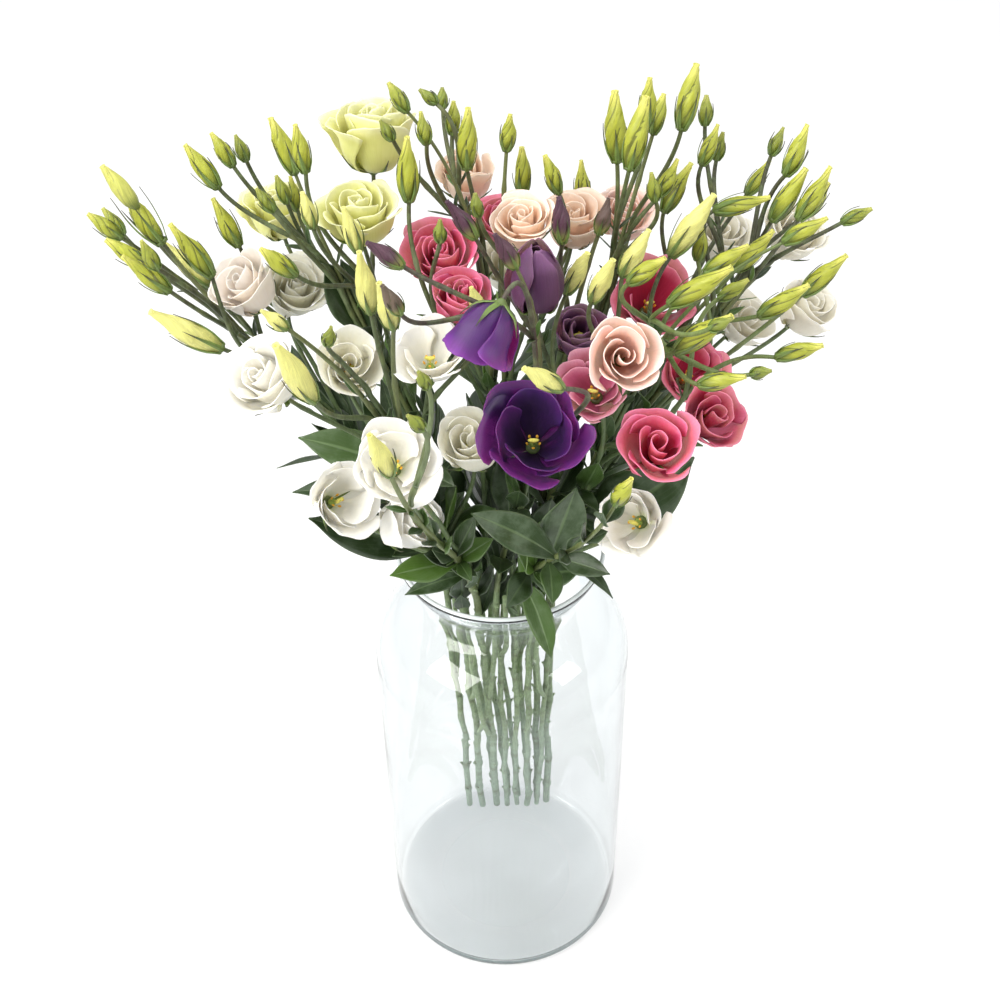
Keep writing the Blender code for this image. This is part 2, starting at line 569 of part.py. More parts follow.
def grow_leaf(spray, room, leaf):
    """A leaf from the main stem to about this tip, turned until it is clear of the rest."""
    x, y, z, span, width = leaf[:5]
    front = leaf[5] if len(leaf) > 5 else 0.0
    goal, span, width = np.array([x, y, z]) * CM, span * CM, width * CM
    best = None
    for tube in spray.tubes:
        line = tube["line"]
        run = tangents(line)
        usable = [k for k in range(0, len(line) - 8) if line[k, 2] > LOWEST_LEAF]
        if not tube["lead"]:
            usable = [k for k in usable if k > 5]
        for k in usable[::2]:
            reach = np.linalg.norm(goal - line[k])
            miss = abs(reach - 0.92 * span) + 0.5 * max(0.0, line[k, 2] - max(goal[2] - 0.02, 0.42))
            miss += 0.0 if tube["lead"] else 0.015
            if best is None or miss < best[0]:
                best = (miss, line[k], run[k])
    root, run = best[1], best[2]
    gone = goal - root
    gone = unit(gone) * 0.93 * span
    picked = None
    for step in range(21 * len(LEAF_LIFTS)):
        turn = math.radians(LEAF_TURN * ((step % 21 + 1) // 2) * (1 if step % 2 else -1))
        lift = LEAF_LIFTS[step // 21]
        level = gone - run * (gone @ run)
        spun = level * math.cos(turn) + np.cross(run, level) * math.sin(turn)
        tip = root + unit(run * (gone @ run + lift) + spun) * 0.93 * span
        shape = leaf_shape(root, run, tip, width, 13, front)
        centres, sizes = leaf_balls(shape)
        gap = room.gap(centres, sizes, spray.number, LEAF_REST)
        if picked is None or gap > picked[0]:
            picked = (gap, tip, shape)
        if gap > LEAF_CLEAR:
            break
    spray.leaves.append({"root": root, "run": run, "tip": picked[1], "width": width, "front": front})
    room.add(*leaf_balls(picked[2]), spray.number)
    return picked[0]


def vase_profile():
    """The half section of the vase, outside then inside, as (radius, height), bottom to bottom."""
    outer = [(BASE_RADIUS, 0.0)]
    corner = BODY_RADIUS - BASE_RADIUS
    for step in (1, 2, 3):
        turn = math.radians(30.0 * step)
        outer.append((BASE_RADIUS + corner * math.sin(turn), BASE_ROUND * (1 - math.cos(turn))))
    outer.append((BODY_RADIUS, SHOULDER_START))
    fall = NECK_HEIGHT - 0.012 - SHOULDER_START
    for step in (1, 2, 3, 4):
        turn = math.radians(20.0 * step)
        pull = 1 - math.cos(turn)
        outer.append((BODY_RADIUS - (BODY_RADIUS - NECK_RADIUS) * pull / 0.92,
                      SHOULDER_START + fall * math.sin(turn)))
    outer.append((NECK_RADIUS, NECK_HEIGHT))
    for step in (1, 2):
        share = step / 3
        outer.append((NECK_RADIUS + (LIP_RADIUS - NECK_RADIUS) * share**1.3,
                      NECK_HEIGHT + (VASE_HEIGHT - 0.003 - NECK_HEIGHT) * share**0.8))
    outer.append((LIP_RADIUS, VASE_HEIGHT - 0.003))
    outer.append((LIP_RADIUS - 0.001, VASE_HEIGHT))
    inner = [(LIP_RADIUS - WALL, VASE_HEIGHT - 0.0005)]
    for radius, height in reversed(outer[9:12]):
        inner.append((radius - WALL, height + 0.001))
    for radius, height in reversed(outer[4:9]):
        inner.append((radius - WALL, height - 0.0015))
    inner.append((BODY_RADIUS - WALL, FLOOR + 0.010))
    inner.append((BODY_RADIUS - WALL - 0.0015, FLOOR + 0.004))
    inner.append((BODY_RADIUS - WALL - 0.005, FLOOR))
    return outer, inner


def vase_balls(room, owner):
    """Balls along the glass where leaves come near it."""
    outer, _ = vase_profile()
    for radius, height in outer[5:]:
        count = int(2 * math.pi * radius / 0.005)
        turn = np.linspace(0.0, 2 * math.pi, count, endpoint=False)
        ring = np.stack([(radius - 0.0015) * np.cos(turn), (radius - 0.0015) * np.sin(turn),
                         np.full(count, height)], axis=1)
        room.add(ring, 0.0035, owner)


def arrange():
    """Where every stem, branch, bud, bloom and leaf goes: all the sprays, clear of each other."""
    room = Room()
    sprays = {name: Spray(name, number) for number, name in enumerate(SPRAYS)}
    blooms, gaps = {}, {}
    vase_balls(room, VASE_OWNER)
    number = FIRST_BLOOM_OWNER
    for name in SPRAYS:
        for place in BLOOMS[name]:
            room.add(*bloom_balls(place), number)
            blooms[place[0]] = (name, number, place)
            number += 1
    for name, spray in sprays.items():
        x, y, z, lean, length = BUDS[name][0]
        way = leaning(lean, y * CM)
        ends = {"kind": "bud", "length": length * CM}
        tip = np.array([x, y, z]) * CM
        gaps[name] = grow_lead(spray, room, tip, way, ends)
    for name, (owner, number, place) in blooms.items():
        base, axis, _, _, _, _ = bloom_frame(place)
        ends = {"kind": "bloom", "name": name}
        tip = base - axis * SEAT_GAP
        gaps[name] = grow_branch(sprays[owner], room, tip, axis, ends, BLOOM_BRANCH, number)
    for name, spray in sprays.items():
        for index, (x, y, z, lean, length) in enumerate(BUDS[name][1:]):
            way = leaning(lean, y * CM)
            ends = {"kind": "bud", "length": length * CM}
            tip = np.array([x, y, z]) * CM
            gaps[f"{name} bud {index + 1}"] = grow_branch(spray, room, tip, way, ends, BUD_BRANCH)
    for name, spray in sprays.items():
        for index, leaf in enumerate(LEAVES[name]):
            gaps[f"{name} leaf {index}"] = grow_leaf(spray, room, leaf)
    return sprays, blooms, gaps


def mesh_object(name, points, faces):
    """An object of its own from points and faces."""
    mesh = bpy.data.meshes.new(name)
    mesh.from_pydata([tuple(p) for p in points], [], [tuple(f) for f in faces])
    mesh.validate()
    shape = bpy.data.objects.new(name, mesh)
    bpy.context.scene.collection.objects.link(shape)
    return shape


def frames(line):
    """Cross directions carried along a line without twist."""
    run = tangents(line)
    side = unit(np.cross(run[0], (0.0, 1.0, 0.0) if abs(run[0][1]) < 0.9 else (1.0, 0.0, 0.0)))
    sides = []
    for direction in run:
        side = unit(side - direction * (side @ direction))
        sides.append(side)
    sides = np.array(sides)
    return sides, np.cross(run, sides)


def tube_mesh(line, radii, sides, level_foot=False):
    """A closed tube along a line."""
    across, other = frames(line)
    turn = np.linspace(0.0, 2 * math.pi, sides, endpoint=False)
    points = []
    for k, centre in enumerate(line):
        u, w = across[k], other[k]
        if level_foot and k == 0:
            u = unit(np.array([u[0], u[1], 0.0]))
            w = np.cross((0.0, 0.0, 1.0), u)
        points += [centre + radii[k] * (math.cos(a) * u + math.sin(a) * w) for a in turn]
    faces = []
    for k in range(len(line) - 1):
        for j in range(sides):
            a, b = k * sides + j, k * sides + (j + 1) % sides
            faces.append((a, b, b + sides, a + sides))
    faces.append(tuple(reversed(range(sides))))
    faces.append(tuple(range((len(line) - 1) * sides, len(line) * sides)))
    return np.array(points), faces


def tube_steps(tube):
    """The points of a stem or branch where its solid has a ring."""
    last = len(tube["line"]) - 1
    if tube["lead"]:
        return np.r_[0, NECK_STEP:last:10, last]
    return np.linspace(0, last, 3 if length_of(tube["line"]) < LONG_BRANCH else 4).round().astype(int)


def on_spray(spray, root):
    """The nearest place to a root on the middle lines of the solids that a spray has so far."""
    best = None
    for tube in spray.tubes:
        rings = tube["line"][tube_steps(tube)]
        for low, high in zip(rings, rings[1:]):
            run = high - low
            share = np.clip((root - low) @ run / (run @ run), 0.0, 1.0)
            place = low + share * run
            if best is None or np.linalg.norm(place - root) < np.linalg.norm(best - root):
                best = place
    return best


def branch_mesh(spray, tube):
    """A stem or branch with the bud or calyx that ends it, in one skin."""
    steps, ends = tube_steps(tube), tube["ends"]
    line, points, sizes = tube["line"], tube["line"][steps], tube["radii"][steps]
    sides = 5 if tube["lead"] else 4 if ends.get("length", 0.0) > SLIM_BUD else 3
    if not tube["lead"]:
        others = Spray(spray.name, spray.number)
        others.tubes = [other for other in spray.tubes if other is not tube]
        points[0] = on_spray(others, points[0])
    if ends["kind"] == "bud":
        at = np.array([0.14, 0.48, 1.0])
        body = line[-1] + tube["way"] * ends["length"] * at[:, None]
        sizes = np.r_[sizes, 1.12 * bud_radius(ends["length"], at)]
    else:
        body = line[-1] + tube["way"] * np.array([[-CALYX_HEIGHT], [0.0]])
        points, sizes = points[:-1], np.r_[sizes[:-1], CALYX_RADIUS * 0.5, CALYX_RADIUS]
    return tube_mesh(np.vstack([points, body]), sizes, sides, tube["lead"])


def leaf_mesh(spray, leaf):
    """A leaf's blade, thickest along its midrib and folded a little."""
    line, across, normal, half = leaf_shape(leaf["root"], leaf["run"], leaf["tip"], leaf["width"],
                                            LEAF_ROWS, leaf["front"])
    line[0] = on_spray(spray, leaf["root"])
    points, faces = [], []
    for k in range(LEAF_ROWS - 1):
        rib = normal[k] * BLADE * (0.5 if k else 0.9)
        lift = normal[k] * 0.16 * half[k]
        points += [line[k] + rib, line[k] + across[k] * half[k] + lift, line[k] - rib,
                   line[k] - across[k] * half[k] + lift]
    points.append(line[-1])
    for k in range(LEAF_ROWS - 2):
        for j in range(4):
            a, b = 4 * k + j, 4 * k + (j + 1) % 4
            faces += [(a, b, b + 4), (a, b + 4, a + 4)] if j in (0, 2) else [(a, b, a + 4), (b, b + 4, a + 4)]
    last = 4 * (LEAF_ROWS - 2)
    faces += [(last + j, last + (j + 1) % 4, last + 4) for j in range(4)]
    faces += [(3, 2, 1, 0)]
    return np.array(points), faces


def petal_points(place, whorl, number, u, v):
    """Points of a petal's middle surface: u across from -1 to 1, v from receptacle to rim."""
    base, axis, side, up, radius, height = bloom_frame(place)
    cup = CUPS[place[1]]
    count, reach, tall, spread = cup[2][whorl]
    own = 1.0 + 0.02 * math.sin(2.4 * number + 1.7 * whorl + sum(place[2]))
    s = v * (1.0 - PETAL_DROP * np.abs(u) ** 2.2 * v**2)
    ring = radius * reach * own * through(cup[1], s) * (1.0 + PETAL_TWIST * u)
    turn = 2 * math.pi * number / count + whorl * 0.35 + sum(place[3])
    turn = turn + np.radians(spread) * u * through(PETAL_SPREAD, s)
    rise = height * tall * through(RISE, s)
    spoke = np.cos(turn)[..., None] * side + np.sin(turn)[..., None] * up
    return base + axis * rise[..., None] + spoke * ring[..., None]


def split_cell(a, b, d, e, first_column):
    """The two triangles of a cell of a blade, cut so that both sides of the blade match."""
    return [(a, b, d), (b, e, d)] if first_column else [(a, b, e), (a, e, d)]


def bloom_mesh(place):
    """A bloom in one skin: a five-sided foot whose side faces are drawn out into petals."""
    base, axis, side, up, _, height = bloom_frame(place)
    whorls = CUPS[place[1]][2]
    points, faces, rings = [], [], []
    for level in range(len(whorls) + 1):
        spokes = [2 * math.pi * (k - 0.5) / 5 + sum(place[3]) for k in range(5)]
        ring = CALYX_RADIUS * (1.0, 0.66, 0.40)[level]
        lift = 0.045 * height * level
        rings.append(range(len(points), len(points) + 5))
        points += [base + axis * lift + ring * (math.cos(a) * side + math.sin(a) * up) for a in spokes]
    faces.append(tuple(reversed(rings[0])))
    faces.append(tuple(rings[-1]))
    for whorl in range(len(whorls)):
        columns, levels = PETAL_GRID[place[1]][whorl]
        for number in range(5):
            u, v = np.meshgrid(np.linspace(-1, 1, columns + 1), levels)
            middle = petal_points(place, whorl, number, u, v)
            normal = np.cross(np.gradient(middle, axis=1), np.gradient(middle, axis=0))
            normal *= 0.5 * BLADE / (np.linalg.norm(normal, axis=2, keepdims=True) + 1e-12)
            inside = np.zeros(u.shape, bool)
            inside[:-1, 1:-1] = True
            outer = np.arange(u.size).reshape(u.shape) + len(points)
            points += list((middle + normal * inside[..., None]).reshape(-1, 3))
            inner = outer.copy()
            for r, c in zip(*np.nonzero(inside)):
                inner[r, c] = len(points)
                points.append(middle[r, c] - normal[r, c])
            after = (number + 1) % 5
            low = (rings[whorl][number], rings[whorl][after])
            high = (rings[whorl + 1][number], rings[whorl + 1][after])
            for (left, right), grid, flip in ((low, outer, False), (high, inner, True)):
                first = grid[0]
                skin = [(left, right, first[-2])]
                skin += [(left, first[c + 1], first[c]) for c in range(columns - 1)]
                skin.append((right, first[-1], first[-2]))
                for r in range(len(levels) - 1):
                    for c in range(columns):
                        skin += split_cell(grid[r, c], grid[r, c + 1], grid[r + 1, c], grid[r + 1, c + 1],
                                           c == 0)
                faces += [tuple(reversed(f)) for f in skin] if flip else skin
            faces.append((low[0], outer[0, 0], high[0]))
            faces.append((outer[0, -1], low[1], high[1]))
    return np.array(points), faces


def fuse(name, parts):
    """One body from closed parts that reach into each other."""
    shape = mesh_object(name, *parts[0])
    if len(parts) > 1:
        group = bpy.data.collections.new(name + "_parts")
        bpy.context.scene.collection.children.link(group)
        for index, part in enumerate(parts[1:]):
            piece = mesh_object(f"{name}_part_{index}", *part)
            bpy.context.scene.collection.objects.unlink(piece)
            group.objects.link(piece)
        join = shape.modifiers.new("union", "BOOLEAN")
        join.operation = "UNION"
        join.operand_type = "COLLECTION"
        join.collection = group
        join.solver = "MANIFOLD"
        bpy.context.view_layer.update()
        graph = bpy.context.evaluated_depsgraph_get()
        joined = bpy.data.meshes.new_from_object(shape.evaluated_get(graph))
        shape.modifiers.clear()
        shape.data = joined
        for piece in list(group.objects):
            bpy.data.objects.remove(piece)
        bpy.data.collections.remove(group)
    return shape


def smooth(shape, degrees):
    """Smooth shading, with edges sharper than this many degrees kept."""
    shape.data.shade_smooth()
    shape.data.set_sharp_from_angle(angle=math.radians(degrees))


def material(name, colour, roughness, transmission=0.0):
    """A material of its own for one object."""
    made = bpy.data.materials.new(name)
    made.use_nodes = True
    shader = made.node_tree.nodes["Principled BSDF"]
    shader.inputs["Base Color"].default_value = (*colour, 1.0)
    shader.inputs["Roughness"].default_value = roughness
    shader.inputs["Metallic"].default_value = 0.0
    shader.inputs["Transmission Weight"].default_value = transmission
    return made


def make_vase():
    """The vase, turned from its half section and closed at the axis."""
    outer, inner = vase_profile()
    profile = outer + inner
    made = bmesh.new()
    rings = []
    for radius, height in profile:
        ring = []
        for step in range(VASE_SEGMENTS):
            turn = 2 * math.pi * step / VASE_SEGMENTS
            ring.append(made.verts.new((radius * math.cos(turn), radius * math.sin(turn), height)))
        rings.append(ring)
    for low, high in zip(rings, rings[1:]):
        for step in range(VASE_SEGMENTS):
            after = (step + 1) % VASE_SEGMENTS
            made.faces.new((low[step], low[after], high[after], high[step]))
    made.faces.new(list(reversed(rings[0])))
    made.faces.new(rings[-1])
    mesh = bpy.data.meshes.new("vase")
    made.to_mesh(mesh)
    made.free()
    vase = bpy.data.objects.new("vase", mesh)
    bpy.context.scene.collection.objects.link(vase)
    smooth(vase, 40)
    vase.data.materials.append(material("clear_glass", (0.93, 0.97, 0.97), 0.02, 1.0))


def make_spray(spray):
    """A leafy stem with its branches, buds, bracts and leaves in one body."""
    parts = [branch_mesh(spray, tube) for tube in spray.tubes]
    parts += [leaf_mesh(spray, leaf) for leaf in spray.leaves]
    shape = fuse("stem_" + spray.name, parts)
    smooth(shape, 50)
    shape.data.materials.append(material("stem_" + spray.name, (0.16, 0.26, 0.12), 0.55))


def make_bloom(name, place):
    """A bloom: its foot and the petals of each whorl in one body."""
    shape = mesh_object("bloom_" + name, *bloom_mesh(place))
    smooth(shape, 50)
    shape.data.materials.append(material("petal_" + name, COLOURS[place[5]], 0.6))


def build():
    """The whole model in an empty scene."""
    for shape in list(bpy.data.objects):
        bpy.data.objects.remove(shape)
    sprays, blooms, gaps = arrange()
    make_vase()
    for spray in sprays.values():
        make_spray(spray)
    for name, (_, _, place) in blooms.items():
        make_bloom(name, place)
    tight = [name for name, gap in gaps.items() if gap < 0.0]
    print(f"{len(gaps)} pieces placed, touching a neighbour: {tight}")


build()
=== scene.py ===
"""A bouquet of lisianthus standing in a tall clear glass vase, as it looks.

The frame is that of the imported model: the origin is the middle of the vase's underside, +Z is up,
+X is to the right of the viewer and -Y is towards the viewer. The stems, branches, blooms and
leaves grow by the same tables and rules as the solids that they replace, so they stay where those
are.
"""
import math

import bpy
import numpy as np
from mathutils import Matrix, Vector


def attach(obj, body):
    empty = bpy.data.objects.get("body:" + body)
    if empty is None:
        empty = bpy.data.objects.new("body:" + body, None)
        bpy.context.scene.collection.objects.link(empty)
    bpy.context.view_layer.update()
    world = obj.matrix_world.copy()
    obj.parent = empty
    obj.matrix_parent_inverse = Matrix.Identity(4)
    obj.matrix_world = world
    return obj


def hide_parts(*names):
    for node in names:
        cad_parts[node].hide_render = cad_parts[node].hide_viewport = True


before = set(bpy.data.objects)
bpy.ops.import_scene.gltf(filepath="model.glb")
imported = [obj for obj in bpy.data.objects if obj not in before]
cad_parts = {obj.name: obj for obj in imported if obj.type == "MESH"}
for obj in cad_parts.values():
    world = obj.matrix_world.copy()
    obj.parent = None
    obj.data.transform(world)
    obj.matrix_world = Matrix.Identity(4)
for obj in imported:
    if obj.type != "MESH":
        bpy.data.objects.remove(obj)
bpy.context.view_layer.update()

# Driving dimensions, in metres
CM = 0.01
VASE_HEIGHT = 0.400
BODY_RADIUS = 0.095
BASE_RADIUS = 0.086
BASE_ROUND = 0.010
NECK_RADIUS = 0.051
LIP_RADIUS = 0.0745
WALL = 0.0030
FLOOR = 0.0080
SHOULDER_START = 0.294
NECK_HEIGHT = 0.362
LIP_HEIGHT = VASE_HEIGHT - 0.0030
SEAT_GAP = 0.0003

# Radii of the stems, branches and seats, how a bud's radius grows with its length, and the points
# along a main stem below and above the neck and along a branch
STEM_FOOT_RADIUS = 0.0031
STEM_NECK_RADIUS = 0.0028
STEM_TOP_RADIUS = 0.0014
BRANCH_ROOT_RADIUS = 0.0015
BRANCH_TIP_RADIUS = 0.0011
CALYX_RADIUS = 0.0040
BUD_GIRTH = 0.0024
BUD_FATNESS = 0.088
NECK_STEP = 59
LEAD_STEPS = 60
BRANCH_STEPS = 20

# How the pieces are kept clear of each other: the least gap, the lowest leaf above the lip, and
# the first and last stretch of a branch, which may touch what it grows from and what it carries
CLEAR = 0.0011
LEAF_CLEAR = 0.0007
LOWEST_LEAF = 0.413
BRANCH_REST = 0.016
BLOOM_REST = 0.018
LEAF_REST = 0.014
# How far and how often a stem or branch is bent to find room
LEAD_BEND = 0.012
LEAD_BENDS = 41
BRANCH_BEND = 0.009
BRANCH_BENDS = 13
# The least and greatest span of a branch, and the span that one to a bloom, bud or tiny bud likes
BRANCH_SPAN = (0.032, 0.260)
BLOOM_BRANCH = 0.110
BUD_BRANCH = 0.085
TINY_BRANCH = 0.06
# How many roots are tried for a branch, and when its fork is too near another or too wide (radians)
BRANCH_ROOTS = 14
CROWDED_FORK = 0.009
WIDE_FORK = 1.1
# How a leaf turns round its stem, in degrees and steps, and lifts to find room, and its span as a
# share of its length
LEAF_TURN = 9.0
LEAF_TURNS = 21
LEAF_REACH = 0.93
LEAF_LIFTS = (0.0, 0.012, -0.012, 0.024, -0.022)
# A bud that has no room slides by these steps along the line of sight, which rises by this much
# for each metre towards the viewer
SIGHT_SLOPE = 0.72
SLIDES = (0.0, 0.006, -0.006, 0.012, -0.012, 0.018, -0.018, 0.026, -0.026)
# The sprays own room by their numbers from 0, the vase and the blooms by these
VASE_OWNER = 999
FIRST_BLOOM_OWNER = 100

# Where the draws of each kind of part start, so that each part always comes out the same
FIRST_DRAWS = {"petals": 400, "stalk": 1000, "leaf": 5000, "small leaves": 7000, "bracts": 9000,
               "bud": 20000, "sepals": 30000, "twin": 40000, "stubs": 50000, "shoots": 60000,
               "way up": 70000}

# Each spray: the foot on the vase's floor (x, y) and the place in the neck (x, y), cm.
SPRAYS = {
    "white_left": ((-3.2, 7.1), (-3.9, -1.0)),
    "white_middle": ((-2.0, 7.0), (-2.9, -2.2)),
    "white_low_left": ((-0.7, 7.1), (-1.7, -2.9)),
    "purple_front": ((0.25, 7.0), (-0.3, -3.1)),
    "white_low_right": ((1.15, 7.1), (0.8, -3.1)),
    "peach_right": ((2.05, 7.0), (2.1, -2.7)),
    "rose_right": ((2.95, 7.1), (3.7, -1.3)),
    "white_far_left": ((-0.7, 8.05), (-3.3, 0.8)),
    "yellow_left": ((0.35, 8.1), (-1.9, 0.9)),
    "pink_middle": ((1.3, 8.05), (-0.9, 0.6)),
    "peach_middle": ((2.2, 8.0), (0.9, 0.9)),
    "purple_back": ((3.0, 7.8), (2.6, 0.8)),
    "white_right": ((3.85, 7.4), (3.6, 0.6)),
}

# The blooms of each spray: name, kind, middle of the cup (x, y, z) in cm, the way it faces as the
# azimuth from the viewer's side towards +X and the elevation in degrees, diameter in cm, colour.
BLOOMS = {
    "white_low_left": (
        ("white_open_left", "open", (-5.9, -13.5, 59.0), (10, 50), 4.8, "white"),
        ("white_side_left", "open", (-9.8, -10.0, 53.3), (45, 38), 4.5, "white"),
        ("white_low_left", "bell", (-6.0, -8.5, 49.9), (60, 45), 4.1, "white"),
    ),
    "white_left": (
        ("white_ruffled_left", "rose", (-13.3, -9.0, 61.6), (-40, 56), 4.5, "white"),
        ("white_goblet_left", "open", (-9.2, -3.0, 58.0), (20, 55), 4.5, "cream"),
    ),
    "white_middle": (
        ("white_cup_middle", "open", (-4.0, -6.5, 61.2), (0, 72), 4.5, "white"),
        ("white_bell_middle", "bell", (-1.8, -7.0, 54.9), (-20, 72), 4.1, "cream"),
    ),
    "white_far_left": (
        ("blush_rose_far_left", "rose", (-15.5, 1.0, 61.2), (-60, 60), 4.2, "blush"),
        ("cream_bell_far_left", "bell", (-13.3, 4.5, 58.5), (40, 65), 4.1, "cream"),
    ),
    "yellow_left": (
        ("yellow_rose_top", "rose", (-7.6, 7.0, 68.1), (170, 80), 5.6, "yellow"),
        ("yellow_rose_front", "rose", (-8.3, 1.8, 65.6), (-10, 82), 4.5, "yellow"),
        ("yellow_rose_back", "rose", (-14.4, 9.0, 61.6), (-100, 80), 4.5, "yellow"),
    ),
    "pink_middle": (
        ("pink_rose_middle", "rose", (-3.4, 1.5, 62.8), (-5, 64), 4.5, "pink"),
        ("pink_cup_middle", "bell", (-2.2, -3.2, 63.0), (30, 70), 3.6, "pink"),
        ("pink_rose_behind", "rose", (0.4, 6.4, 62.2), (20, 70), 3.6, "pink"),
    ),
    "peach_middle": (
        ("peach_rose_top", "bell", (-1.9, 9.5, 63.7), (0, 75), 3.7, "peach"),
        ("peach_rose_side", "rose", (1.6, 0.0, 66.1), (-20, 78), 3.7, "peach"),
        ("peach_rose_behind", "rose", (4.9, 5.0, 63.0), (10, 78), 4.1, "peach"),
        ("cream_cup_behind", "bell", (0.5, 8.5, 57.5), (-20, 75), 3.7, "cream"),
    ),
    "purple_back": (
        ("purple_bell_upright", "closed", (2.3, -4.0, 65.2), (0, 84), 3.9, "purple"),
        ("purple_bell_back", "bell", (5.0, -1.0, 58.7), (20, 70), 3.4, "purple"),
    ),
    "purple_front": (
        ("purple_nodding", "bell", (-0.5, -12.0, 67.2), (-50, -55), 4.1, "purple"),
        ("purple_open_front", "open", (1.9, -14.0, 61.2), (0, 54), 5.8, "purple"),
    ),
    "peach_right": (
        ("blush_rose_front", "rose", (6.8, -11.5, 64.9), (5, 42), 4.2, "blush"),
        ("blush_rose_back", "rose", (8.4, 8.5, 61.3), (20, 75), 3.9, "blush"),
    ),
    "rose_right": (
        ("rose_cup_front", "rose", (8.9, -13.0, 59.6), (0, 58), 4.6, "pink"),
        ("rose_cup_right", "open", (12.6, -7.0, 56.7), (40, 50), 4.5, "rose"),
        ("rose_open_back", "open", (12.0, -1.4, 55.8), (30, 58), 4.4, "rose"),
        ("rose_open_behind", "open", (9.8, 2.4, 58.8), (15, 60), 5.2, "rose"),
        ("rose_cup_middle", "open", (5.7, -6.5, 58.6), (-20, 55), 4.2, "dusty"),
    ),
    "white_right": (
        ("white_rose_back_right", "rose", (14.9, 8.5, 59.4), (20, 75), 4.1, "white"),
        ("white_cup_back_right", "bell", (19.4, 7.5, 60.3), (40, 65), 3.9, "white"),
        ("white_cup_right", "open", (16.4, 6.0, 54.4), (60, 55), 4.3, "white"),
        ("white_rose_far_right", "rose", (19.7, 2.0, 58.2), (60, 58), 4.0, "white"),
    ),
    "white_low_right": (
        ("white_open_right", "open", (7.9, -13.0, 53.9), (-30, 38), 4.3, "white"),
    ),
}

